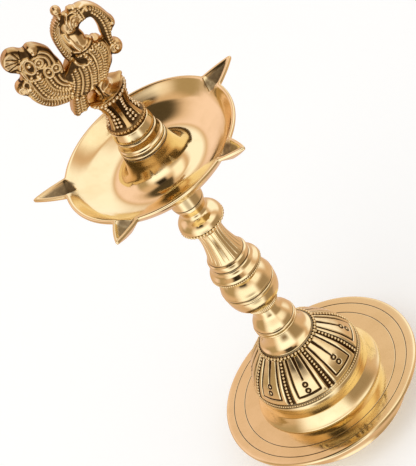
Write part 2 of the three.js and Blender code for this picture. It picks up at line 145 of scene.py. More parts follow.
def outline(points, corner=0.16, closed=True, longest=1.5, turn=7.0):
    """A chosen outline with its corners eased by a bell-shaped average as wide as corner, then
    stepped so that each step is at most longest mm long and turns at most turn degrees. Returns
    (points, darkening of the inside corners), which rises from 0 at 14 degrees of inward bend per mm to 1 at
    59."""
    step = 0.06
    p = np.asarray(points, float)
    p = even(np.vstack([p, p[:1]]), step)[:-1] if closed else even(p, step)
    p = np.stack([bell(p[:, i], corner / step, closed) for i in (0, 1)], axis=1)
    if closed:
        along = (np.roll(p, -1, axis=0) - np.roll(p, 1, axis=0)) / 2
    else:
        along = np.gradient(p, axis=0)
    bend = np.degrees(np.gradient(np.unwrap(np.arctan2(along[:, 1], along[:, 0]))))
    if closed:
        bend[[0, -1]] = 0
    after = np.roll(p, -1, axis=0)
    area = np.sum(p[:, 0] * after[:, 1] - after[:, 0] * p[:, 1])
    hollow = np.clip((-bell(bend, 5, closed) * np.sign(area) / step - 14) / 45, 0, 1)
    density = bell(step / longest + np.abs(bend) / turn, 0.3 / step, closed)
    density = np.maximum(density, step / longest)
    if closed:
        p = np.vstack([p, p[:1]])
        hollow, density = np.append(hollow, hollow[0]), np.append(density, density[0])
    total = np.concatenate([[0], np.cumsum(density[1:])])
    at = np.linspace(0, total[-1], int(math.ceil(total[-1])) + 1)
    if closed:
        at = at[:-1]
    lean = np.stack([np.interp(at, total, p[:, i]) for i in (0, 1)], axis=1)
    lean[:, 0] = np.maximum(lean[:, 0], 0)
    return lean, np.interp(at, total, hollow)


# Meshes: a part is (points, quads, patina and painted light per point)


def sheet(grid, wrap_rows=False, wrap_columns=False, patina_and_painted_light=0.0):
    """A grid of points, rows by columns by 3, as a part. Either way round may close on itself."""
    rows, columns = grid.shape[:2]
    i = np.arange(rows if wrap_rows else rows - 1)[:, None]
    j = np.arange(columns if wrap_columns else columns - 1)[None, :]
    below, beside = (i + 1) % rows, (j + 1) % columns
    corners = [i * columns + j, i * columns + beside, below * columns + beside, below * columns + j]
    quads = np.stack([np.broadcast_to(c, (len(i), j.shape[1])) for c in corners], axis=-1).reshape(-1, 4)
    return grid.reshape(-1, 3), quads, np.broadcast_to(patina_and_painted_light, (rows, columns)).reshape(-1)


def round_the_axis(radius, height, degrees):
    """Points at these cylinder coordinates, in mm."""
    radius, height, angle = np.broadcast_arrays(radius, height, np.radians(degrees))
    return np.stack([radius * np.cos(angle), radius * np.sin(angle), height], axis=-1)


def turned(profile, patina_and_painted_light, sides, ripple=None):
    """A body of revolution: each profile point (radius, height) runs round the axis. ripple gives
    what is added to the radius, from radius, height and angle in degrees."""
    degrees = np.linspace(0, 360, sides, endpoint=False)[:, None]
    height = np.broadcast_to(profile[:, 1], (sides, len(profile)))
    radius = np.broadcast_to(profile[:, 0], height.shape)
    if ripple is not None:
        radius = radius + ripple(radius, height, degrees)
    return sheet(round_the_axis(radius, height, degrees), True, True, patina_and_painted_light)


def balls(centres, radius, patina_and_painted_light=0.0):
    """A small ball of 40 faces at every centre: rings of 8 points at even latitudes."""
    centres = np.asarray(centres, float).reshape(-1, 3)
    latitude = np.linspace(-90, 90, 6)[:, None]
    across, height = np.cos(np.radians(latitude)), np.sin(np.radians(latitude))
    ball = round_the_axis(across, height, np.linspace(0, 360, 8, endpoint=False))
    points, quads, _ = sheet(ball, False, True)
    size = np.broadcast_to(radius, len(centres))[:, None, None]
    quads = quads + (np.arange(len(centres)) * len(points))[:, None, None]
    points = (centres[:, None, :] + points * size).reshape(-1, 3)
    return points, quads.reshape(-1, 4), np.full(len(points), patina_and_painted_light)


def bead_ring(count, radius, height, size, patina_and_painted_light=0.0):
    """An even ring of beads round the axis."""
    return balls(round_the_axis(radius, height, np.arange(count) * 360 / count), size, patina_and_painted_light)


def make_piece(name, parts, body, material, replaces=()):
    """One object from its parts. Double points are merged and each closed part faces outwards."""
    starts = np.cumsum([0] + [len(part[0]) for part in parts[:-1]])
    points = np.concatenate([part[0] for part in parts]) * MM
    faces = np.concatenate([part[1] + start for part, start in zip(parts, starts)])
    mesh = bpy.data.meshes.new(name)
    mesh.from_pydata(points, [], faces.tolist())
    relief = mesh.attributes.new("patina_and_painted_light", "FLOAT", "POINT")
    relief.data.foreach_set("value", np.concatenate([part[2] for part in parts]).astype(np.float32))
    shaped = bmesh.new()
    shaped.from_mesh(mesh)
    bmesh.ops.remove_doubles(shaped, verts=shaped.verts, dist=2e-6)
    bmesh.ops.dissolve_degenerate(shaped, edges=shaped.edges, dist=1e-7)
    bmesh.ops.recalc_face_normals(shaped, faces=shaped.faces)
    shaped.to_mesh(mesh)
    shaped.free()
    finish_piece(name, mesh, body, material, replaces)


def finish_piece(name, mesh, body, material, replaces=()):
    """Puts a mesh into the scene as a smooth-shaded piece on its body."""
    mesh.shade_smooth()
    mesh.materials.clear()
    mesh.materials.append(material)
    piece = bpy.data.objects.new(name, mesh)
    bpy.context.collection.objects.link(piece)
    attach(piece, body)
    if replaces:
        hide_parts(*replaces)


# Materials

COLOUR_MIX = {"data_type": "RGBA"}
SOFT_STEP = {"interpolation_type": "SMOOTHSTEP"}


def add_node(tree, kind, settings=None, inputs=None, out=0):
    """Adds a node with its settings. Each input gets a value, or a link from another node's
    output. Returns one output, or all of them where out is None."""
    node = tree.nodes.new("ShaderNode" + kind)
    for key, value in (settings or {}).items():
        setattr(node, key, value)
    for key, value in (inputs or {}).items():
        if isinstance(value, bpy.types.NodeSocket):
            tree.links.new(value, node.inputs[key])
        else:
            node.inputs[key].default_value = value
    return node.outputs if out is None else node.outputs[out]


def empty_nodes(owner):
    """The node tree of a new material or world, emptied."""
    owner.use_nodes = True
    owner.node_tree.nodes.clear()
    return owner.node_tree


def close_material(tree, inputs):
    """Joins the shader, with these inputs, to the material's output."""
    shader = add_node(tree, "BsdfPrincipled", {}, inputs)
    add_node(tree, "OutputMaterial", {}, {"Surface": shader}, None)


def brass(name, bright, dull, gloss, wave, marks, dulling, filling, turning=0.0, rubbed_highlight=None):
    """Brass, 65 parts copper to 35 zinc, a warm yellow metal. Tarnish lies on it in clouds about
    20 mm across, patina fills what the point attribute marks as deep (on the bird partly painted
    shade), where the attribute is below 0 a pale colour lies as a painted highlight, and the
    surface is never quite even: slow waves about 30 mm long from polishing by hand, fine marks
    0.5 mm apart, and rings round the axis, about 0.6 mm apart, that the lathe left. bright and dull
    name colours of the settings, and so does the third, for the rubbed highlight, gloss is the
    roughness of clean metal, wave, marks and turning are depths in mm, and dulling and filling are
    the most that tarnish and patina cover."""
    colours = bpy.context.scene.lamp_finishes
    material = bpy.data.materials.new(name)
    tree = empty_nodes(material)
    place = add_node(tree, "TexCoord", out="Object")
    noise = {"Vector": place, "Scale": 48.0, "Detail": 5.0, "Roughness": 0.62}
    clouds = add_node(tree, "TexNoise", {}, noise)
    noise = {"Vector": place, "Scale": 420.0, "Detail": 3.0, "Roughness": 0.6}
    specks = add_node(tree, "TexNoise", {}, noise)
    deep = add_node(tree, "Attribute", {"attribute_name": "patina_and_painted_light"}, out="Fac")
    dulled = add_node(tree, "MapRange", SOFT_STEP, {0: clouds, 1: 0.42, 2: 0.7, 4: dulling})
    clean, stained = (linear(getattr(colours, shade)) for shade in (bright, dull))
    colour = add_node(tree, "Mix", COLOUR_MIX, {0: dulled, 6: clean, 7: stained}, 2)
    # Painted highlight: below 0 the point attribute turns the colour to the pale rubbed colour, partly the
    # casting's rubbed high spots and partly highlight painted in
    if rubbed_highlight:
        high = add_node(tree, "MapRange", SOFT_STEP, {0: deep, 1: -0.1, 2: -0.8})
        crest_highlight = linear(getattr(colours, rubbed_highlight))
        colour = add_node(tree, "Mix", COLOUR_MIX, {0: high, 6: colour, 7: crest_highlight}, 2)
    uneven = add_node(tree, "Math", {"operation": "MULTIPLY_ADD"}, {0: specks, 1: 0.35, 2: deep})
    filled = add_node(tree, "MapRange", SOFT_STEP, {0: uneven, 1: 0.3, 2: 1.0, 4: filling})
    colour = add_node(tree, "Mix", COLOUR_MIX, {0: filled, 6: colour, 7: linear(colours.patina)}, 2)
    rough = add_node(tree, "MapRange", SOFT_STEP, {0: clouds, 1: 0.35, 2: 0.75, 3: gloss, 4: gloss * 1.7})
    rough = add_node(tree, "Math", {"operation": "MULTIPLY_ADD"}, {0: filled, 1: 0.4, 2: rough})
    slow = add_node(tree, "TexNoise", {}, {"Vector": place, "Scale": 32.0, "Detail": 1.0})
    fine = add_node(tree, "TexNoise", {}, {"Vector": place, "Scale": 2000.0, "Detail": 2.0})
    bump = add_node(tree, "Bump", {}, {"Height": slow, "Distance": wave * MM})
    bump = add_node(tree, "Bump", {}, {"Height": fine, "Distance": marks * MM, "Normal": bump})
    if turning:
        height = add_node(tree, "SeparateXYZ", {}, {0: place}, "Z")
        level = add_node(tree, "VectorMath", {"operation": "MULTIPLY"}, {0: place, 1: (1.0, 1.0, 0.0)})
        radius = add_node(tree, "VectorMath", {"operation": "LENGTH"}, {0: level}, "Value")
        rings = add_node(tree, "CombineXYZ", {}, {0: radius, 2: height})
        rings = add_node(tree, "TexNoise", {}, {"Vector": rings, "Scale": 1700.0, "Detail": 2.0})
        bump = add_node(tree, "Bump", {}, {"Height": rings, "Distance": turning * MM, "Normal": bump})
    close_material(tree, {"Base Color": colour, "Metallic": 1.0, "Roughness": rough, "Normal": bump})
    return material


def polished_brass(name):
    """Turned brass, mirror polished and lacquered: clear reflections, hardly tarnished."""
    return brass(name, "polished", "tarnish", 0.09, 0.05, 0.0012, dulling=0.35, filling=0.9, turning=0.004)


def engraved_brass(name):
    """Cast brass, chased and filled with black patina, then polished back on its high spots."""
    return brass(name, "polished", "tarnish", 0.11, 0.06, 0.003, dulling=0.45, filling=1.0, turning=0.006)


def antique_brass(name):
    """Sand-cast brass, browned all over and rubbed bright on its high spots, where the point
    attribute is below 0; that pale colour also stands in as a painted highlight on crests and beads."""
    return brass(name, "antique", "browned", 0.14, 0.14, 0.012, dulling=0.9, filling=0.95, rubbed_highlight="rubbed_highlight")


def plain_brass(name):
    """Turned brass left as the lathe left it: duller, with no polish."""
    return brass(name, "antique", "browned", 0.3, 0.02, 0.01, dulling=0.9, filling=0.5, turning=0.012)


def tanned_leather(name):
    """Vegetable-tanned leather, cut flat: matt brown, with a grain of cells about 1 mm across."""
    material = bpy.data.materials.new(name)
    tree = empty_nodes(material)
    place = add_node(tree, "TexCoord", out="Object")
    cells = add_node(tree, "TexVoronoi", {}, {"Vector": place, "Scale": 1000.0}, "Distance")
    shades = add_node(tree, "TexNoise", {}, {"Vector": place, "Scale": 150.0, "Detail": 4.0})
    share = add_node(tree, "MapRange", SOFT_STEP, {0: shades, 1: 0.35, 2: 0.65})
    colour = add_node(tree, "Mix", COLOUR_MIX, {0: share, 6: linear("#5A3B26"), 7: linear("#7A563A")}, 2)
    bump = add_node(tree, "Bump", {}, {"Height": cells, "Distance": 0.08 * MM})
    close_material(tree, {"Base Color": colour, "Roughness": 0.8, "Normal": bump})
    return material


def material_for(maker):
    """A finish by its maker, made once and named apart from the solids' own materials."""
    name = "lamp_" + maker.__name__
    return bpy.data.materials.get(name) or maker(name)


# Turned pieces


def lathe_piece(
    name, node, points, body, sides=240, ripple=None, corner=0.16, darkening=0.7, longest=1.5, more=(), dark=()
):
    """Puts a turned piece of polished brass in place of its solid. darkening is how dark its inside
    corners get at most, more are further parts of the piece, and dark are boxes of the
    profile (least and most radius, least and most height) that are made dark all through."""
    profile, patina_and_painted_light = outline(points, corner, True, longest)
    patina_and_painted_light = patina_and_painted_light * darkening
    for box in dark:
        inside = (profile > (box[0], box[2])) & (profile < (box[1], box[3]))
        patina_and_painted_light[inside.all(axis=1)] = 0.85
    parts = [turned(profile, patina_and_painted_light, sides, ripple), *more]
    make_piece(name, parts, body, material_for(polished_brass), (node,))


def turned_line(radius, top, depth=0.16, width=0.26):
    """A V-shaped line cut into a flat brim, from its outer lip to its inner one."""
    across = (width, 0.08, -0.08, -width)
    return [(radius + side, top - depth * (abs(side) < width)) for side in across]


def foot_plate_outline():
    """Foot ring, bowl-shaped flank, rounded brim edge, flat brim with two lines, hollow inside."""
    flank = spline([(43, 0), (43.9, 3.6), (46.9, 9.8), (51.8, 14.7), (56.6, 17.7)], 40)
    inside = spline([(36.8, 18.2), (43.7, 18.2), (43.5, 10), (40.5, 4.4), (39.2, 1.9)], 30)
    edge = [(57.3, 18.5), (57.5, 19.4), (57.35, 20.3), (56.8, 20.75), (56.2, BRIM_TOP)]
    lines = turned_line(52.3, BRIM_TOP) + turned_line(45.8, BRIM_TOP)
    hole = [(33.8, BRIM_TOP), (33.8, 18.2)]
    return [(40.4, 0), *flank, *edge, *lines, *hole, *inside, (40.4, 1.9)]


# Engraved dome

DOME_COLUMNS = 8
PANEL = 360 / DOME_COLUMNS
FIRST_COLUMN = 6.0
FRONT = -90.0
SKIRT_EDGE = 8.6


def dome_outside():
    """Radius and height along the dome's outside, with the length t that its engraving is laid
    out on: t is 8.6 at the skirt's edge and counts mm along the profile."""
    skirt = spline([(36.8, 21.25), (35.7, 22.6), (34.4, 25), (33.4, 27.4), (32.75, 29.1)], 30)
    crown = spline([
        (32.85, 29.25), (32.75, 33), (32.2, 37), (30.5, 43), (27.5, 49), (23.6, 54), (19.8, 58),
        (16.4, 61.45),
    ], 90)
    line = even(np.vstack([[(36.8, BRIM_TOP + 0.02)], skirt, crown]), 0.1)
    return line, run_of(line) + SKIRT_EDGE


def engraving(t, radius, a):
    """Height in mm and patina of the chased pattern at length t and azimuth a in degrees. Eight
    bead columns part the dome into panels. Each panel has a frame line, narrower at the bottom, a
    tapering stem line from the top and two small rings below it."""
    beside = np.abs((a - FIRST_COLUMN + PANEL / 2) % PANEL - PANEL / 2)
    from_middle = PANEL / 2 - beside
    side = np.radians(from_middle) * radius
    upper = between(t, 27.9, 28.9, 53.4, 54.2)
    strip = (1 - ease(beside, 2.6, 3.2)) * upper
    lines = stripe(beside - 3.6, 1.3, 0.7) * upper
    ridge = np.exp(-(((beside - 6.1) / 1.55) ** 2)) * between(t, 29, 31, 53, 54)
    broad = np.interp(t, [31, 54], [1.8, 3.7])
    frame_side = stripe(from_middle - 12.7, broad, 0.8) * between(t, 30.9, 31.6, 53.6, 54.2)
    frame_foot = stripe(t - 31.5, 0.95, 0.45) * (1 - ease(from_middle, 12.7, 13.6))
    groove = np.maximum(frame_side, frame_foot)
    stem = stripe(side, np.interp(t, [40, 54], [0.9, 1.8]), 0.5) * between(t, 40.2, 40.8, 53.4, 54.2)
    rings = 0 * t
    knobs = 0 * t
    # The rings hang a little lower or higher from panel to panel, as chased by hand
    lower = np.where(np.abs((a + 16.5 + 180) % 360 - 180) < PANEL / 2, -1.4, 0.0)
    for height in (39.0, 35.2):
        distance = np.hypot(side, t - height - lower)
        rings = np.maximum(rings, stripe(distance - 1.2, 0.95, 0.4))
        knobs = np.maximum(knobs, np.clip(1 - (distance / 0.9) ** 2, 0, 1))
    border = np.maximum(stripe(t - 28.15, 0.5, 0.3), stripe(t - 25.95, 0.5, 0.3))
    tray = between(t, 26.1, 26.4, 27.8, 28.1)
    collar = ease(t, 53.6, 54.0)
    height = 0.3 * ridge + 0.22 * knobs
    height = height - 0.3 * strip - 0.5 * lines - 0.62 * groove - 0.55 * stem - 0.42 * rings
    height = height - 0.3 * border - 0.18 * tray - 0.45 * collar
    # The border is nearly plain, with little patina, at the front
    kept = 1 - 0.85 * np.exp(-(((a - 14) / 15) ** 2))
    field = 0.18 * (1 - ease(from_middle, 10.5, 12)) * between(t, 32, 34, 52, 54)
    filled = [strip, lines, groove, stem, rings, 0.8 * border * kept, 0.6 * tray * kept, collar, field]
    return height, np.clip(np.maximum.reduce(filled), 0, 1)


def on_dome(t, a, lift):
    """Points on the dome at length t and azimuth a, lifted off its surface by lift mm."""
    line, run = dome_outside()
    slope = np.gradient(line, axis=0)
    slope /= np.linalg.norm(slope, axis=1)[:, None]
    radius = np.interp(t, run, line[:, 0]) + lift * np.interp(t, run, slope[:, 1])
    height = np.interp(t, run, line[:, 1]) - lift * np.interp(t, run, slope[:, 0])
    return round_the_axis(radius, height, a + FRONT)


# Oil dish

SPOUT_ANGLES = (-52.4, 18.0, 90.0, 162.0, 231.0)
SPOUT_LENGTHS = (12.8, 15.6, 17.2, 17.4, 15.0)
SPOUT_HALF_ANGLE = 8.6
DISH_RADIUS = 48.6
WALL_RADIUS = 38.5
BELLY_RADIUS = 29
EDGE_ROUND = 0.5


def off_spouts(angle):
    """Degrees from each spout's middle, spouts by azimuths."""
    return (angle - np.array(SPOUT_ANGLES)[:, None] + 180) % 360 - 180


def dish_angles():
    """Azimuths round the dish in degrees: 2.4 apart, and 0.43 apart over each spout."""
    fine = np.add.outer(SPOUT_ANGLES, np.arange(-10.32, 10.33, 0.43)).ravel() % 360
    plain = np.arange(0, 360, 2.4)
    return np.sort(np.concatenate([fine, plain[np.abs(off_spouts(plain)).min(axis=0) > 11]]))


def spout_at(angle):
    """For each azimuth: degrees from the nearest spout's middle, that spout's length, and the
    share of the way out to its tip, which falls evenly from 1 to 0 at 8.6 degrees."""
    offsets = off_spouts(angle)
    nearest = np.argmin(np.abs(offsets), axis=0)
    offset = np.take_along_axis(offsets, nearest[None], axis=0)[0]
    length = np.take(SPOUT_LENGTHS, nearest)
    out = SPOUT_HALF_ANGLE - np.sqrt(offset**2 + 0.25)
    out = (out + np.sqrt(out**2 + 0.12)) / 2 / 8.2
    return offset, length, np.where(np.abs(offset) > 10.4, 0, out)


def inside_spout(radius, offset, length):
    """How far a point is inside the spout's edge, in mm along the arc: the edge's angle falls
    evenly from 8.5 degrees at the rim to 0 at the tip."""
    edge = 8.5 * (1 - (radius - 49) / length)
    edge = np.minimum(edge, 8.5 + (49 - radius) * 0.12)
    return radius * np.radians(edge - np.abs(offset))


def way_out(radius, length):
    """Share of the way from the dish's rim to a spout's tip."""
    return np.clip((radius - DISH_RADIUS) / length, 0, 1)


def dish_top(radius, offset, length):
    """Height of the dish's upper side: a steep wall, rounded at its foot, up to a narrow flat lip.
    Each spout rises a little, and its V-shaped channel, 1.5 mm inside the spout's edges, runs out
    in the wall."""
    slope = spline([
        (WALL_RADIUS - 2, 205.15), (WALL_RADIUS, 206.2), (40.6, 207.45), (42.6, 209.35), (44.3, 211.45),
        (46, 213.75),
    ], 40)
    wall = even(np.vstack([slope, [(46.75, 214.75), (47.3, RIM_TOP), (80, RIM_TOP)]]), 0.2)
    wall = np.interp(radius, bell(wall[:, 0], 1.2, False), bell(wall[:, 1], 1.2, False))
    deep = np.clip((inside_spout(radius, offset, length) - 1.5) * 0.92, 0, None)
    channel = RIM_TOP - lower_of(deep, 5.4 + 0 * deep, 0.8) + 0.08
    return lower_of(wall, channel, 0.12) + 1.6 * way_out(radius, length)


def spout_darkening(radius, offset, length):
    """Darkens each channel, most towards its middle."""
    inside = inside_spout(radius, offset, length)
    return 0.6 * ease(inside, 1.3, 3.5) * ease(radius, 43.0, 45.5)


def dish_under(radius, offset, length):
    """Height of the dish's underside: a round belly up to the rim, with a keel under each spout
    that runs parallel to its channel."""
    belly = np.interp(
        radius,
        [28, 32, 35, 38, 41, 43.5, 45.5, 47, 48, 48.5, 49.5, 60],
        [199.9, 200.9, 202.0, 203.5, 205.5, 207.6, 209.8, 211.6, 213.0, 213.9, 216, 230],
    )
    inside = inside_spout(radius, offset, length)
    keel = RIM_TOP - 1.5 - np.clip(inside, -3, 7.2) * 0.9 + 1.5 * way_out(radius, length)
    keel = keel + np.clip(44 - radius, 0, None) * 1.2 + np.clip(-inside, 0, None) * 3
    return lower_of(belly, keel, 0.35)


def dish_grid():
    """The whole dish as one closed grid: azimuths by points that run from the middle of the
    pillar's top across the bowl to the edge, and back under the belly to the spigot's foot."""
    angle = dish_angles()
    offset, length, out = spout_at(angle)
    column = np.ones((len(angle), 1))
    edge = (DISH_RADIUS + length * out)[:, None] - EDGE_ROUND
    offset, length = offset[:, None], length[:, None]
    flare = spline([
        (13, RIM_TOP + 4.2), (13.5, 216.2), (14.6, 211.8), (16.7, 207.2), (19.7, 204.2), (23, 202.75),
        (26.5, 202.35), (30, 202.9), (34, 204.2), (WALL_RADIUS, 206.2),
    ], 70)
    pillar_height = RIM_TOP + PILLAR_RISE
    pillar_top = [(0, 212.4), (4.3, 212.4), (4.3, pillar_height), (12.75, pillar_height)]
    pillar, pillar_darkening = outline([*pillar_top, *flare], closed=False, longest=1.1, turn=9)
    # From the wall to the edge, closer together near both ends
    share = np.linspace(0, 1, 46)[1:-1]
    share = (share + ease(share, 0, 1)) / 2
    top_radius = WALL_RADIUS + (edge - WALL_RADIUS) * share
    top_height = dish_top(top_radius, offset, length)
    lip_height = dish_top(edge, offset, length)
    under_height = np.minimum(dish_under(edge, offset, length), lip_height - 1.15)
    turn = np.radians(np.linspace(80, -80, 7))[None, :]
    roll_radius = edge + EDGE_ROUND * np.cos(turn)
    roll_height = (lip_height + under_height) / 2 + (lip_height - under_height) / 2 * np.sin(turn)
    back = np.linspace(0, 1, 40)[1:]
    under_radius = edge + (BELLY_RADIUS - edge) * (back + ease(back, 0, 1) * 0.6) / 1.6
    thinnest = dish_top(under_radius, offset, length) - 1.1
    low_height = np.minimum(dish_under(under_radius, offset, length), thinnest)
    cup = spline([
        (28.6, 200.0), (24, 199.3), (18, 198.7), (13, 196.6), (10.4, 192.4), (9.35, 187.5), (9.1, 182),
    ], 40)
    spigot = [(9.1, 174.3), (8, 174.3), (8, 175.25), (5, 175.25), (5, 166.3), (0, 166.3)]
    foot, foot_darkening = outline([*cup, *spigot], closed=False, longest=1.8, turn=12)
    radius = np.hstack([pillar[:, 0] * column, top_radius, roll_radius, under_radius, foot[:, 0] * column])
    height = np.hstack([pillar[:, 1] * column, top_height, roll_height, low_height, foot[:, 1] * column])
    clean = np.zeros((len(angle), turn.size + back.size))
    channel_darkening = spout_darkening(top_radius, offset, length)
    patina_and_painted_light = np.hstack([0.7 * pillar_darkening * column, channel_darkening, clean, 0.7 * foot_darkening * column])
    return sheet(round_the_axis(radius, height, angle[:, None]), True, False, patina_and_painted_light)


# Capital and bird

CAPITAL_RIBS = 6
RIB_PITCH = 360 / CAPITAL_RIBS
RIB_TURN = -97.0
PLATE_CORNER = 12.0


def from_rib(degrees):
    """Degrees from the middle of the capital's nearest rib."""
    return np.abs((degrees - RIB_TURN + RIB_PITCH / 2) % RIB_PITCH - RIB_PITCH / 2)


def capital_ripple(radius, height, degrees):
    """Six narrow smooth ribs with sunk fields between them, and a plate drawn out to two corners."""
    on_flank = between(height, 238.4, 239.8, 253.6, 256) * (radius > 5)
    field = -1.35 * ease(from_rib(degrees), 6.5, 11) * on_flank
    plate = ease(height, 257.4, 258.2) * ease(radius, 7, 9.5)
    corner = np.clip(np.cos(2 * np.radians(degrees - PLATE_CORNER)), 0, 1) ** 8
    ragged = 0.25 * np.sin(np.radians(degrees * 5 + 40)) + 0.18 * np.sin(np.radians(degrees * 11))
    return field + (1.7 * corner + ragged) * plate


def capital_parts():
    """Turned body with ribs, bead rings at foot and head, and bead columns in the fields. The
    plate on it slopes a little, down to the left."""
    flank = spline([
        (10.1, 236.0), (10.3, 237.2), (9.7, 238.8), (8.3, 242.3), (7.5, 246), (7.8, 249.5), (8.8, 252.8),
        (9.7, 256.0),
    ], 50)
    spigot = [(0, 213), (4, 213), (4, 236.65), (9.7, 236.65), (9.7, 235.75)]
    plate = [(9.3, 257.6), (9.8, 258.1), (9.8, 258.9), (8.9, 259.3), (5.5, 261.0), (0, 262.3)]
    profile, patina_and_painted_light = outline([*spigot, *flank, *plate], 0.16, False, 1.0)
    across, high = profile.T
    degrees = np.linspace(0, 360, 288, endpoint=False)[:, None]
    radius = across + capital_ripple(across, high, degrees)
    slope = 1.4 * np.cos(np.radians(degrees - PLATE_CORNER)) * ease(high, 256.6, 258.2) * ease(across, 5, 9.5)
    sunk = ease(from_rib(degrees), 7, 11) * between(high, 238.2, 239.4, 253.5, 255.5)
    foot = 0.75 * (1 - ease(high, 238.2, 239.2))
    darkening = np.clip(patina_and_painted_light + 0.8 * (sunk + foot) * (across > 5), 0, 0.9)
    parts = [sheet(round_the_axis(radius, high + slope, degrees), True, False, darkening)]
    tilt = 0.5 * np.cos(np.radians(np.arange(28) * 360 / 28 - PLATE_CORNER))
    # The beads go below 0 on the point attribute: a painted highlight of the pale rubbed colour, strongest on
    # the columns and the top ring
    parts += [bead_ring(28, 10.1, 256.9 + tilt, 1.12, -0.5), bead_ring(34, 10.25, 237.3, 0.95, -0.1)]
    column = np.arange(240.2, 254.5, 1.95)
    radius = np.interp(column, [238.8, 242.3, 246, 249.5, 252.8, 256], [9.7, 8.3, 7.5, 7.8, 8.8, 9.9]) - 0.55
    low = column < 246
    # One column of beads above, and below it a pair, each 1.03 mm off the field's middle
    for turn in RIB_TURN + RIB_PITCH * (np.arange(CAPITAL_RIBS) + 0.5):
        parts.append(balls(round_the_axis(radius[~low], column[~low], turn), 1.0, -0.6))
        for apart in (-59.2, 59.2):
            pair = round_the_axis(radius[low] + 0.1, column[low], turn + apart / radius[low])
            parts.append(balls(pair, 0.95, -0.6))
    return parts


# The height of the capital's plate that the bird's strokes and clean spots were laid out on
LAID_PLATE_TOP = 259.0
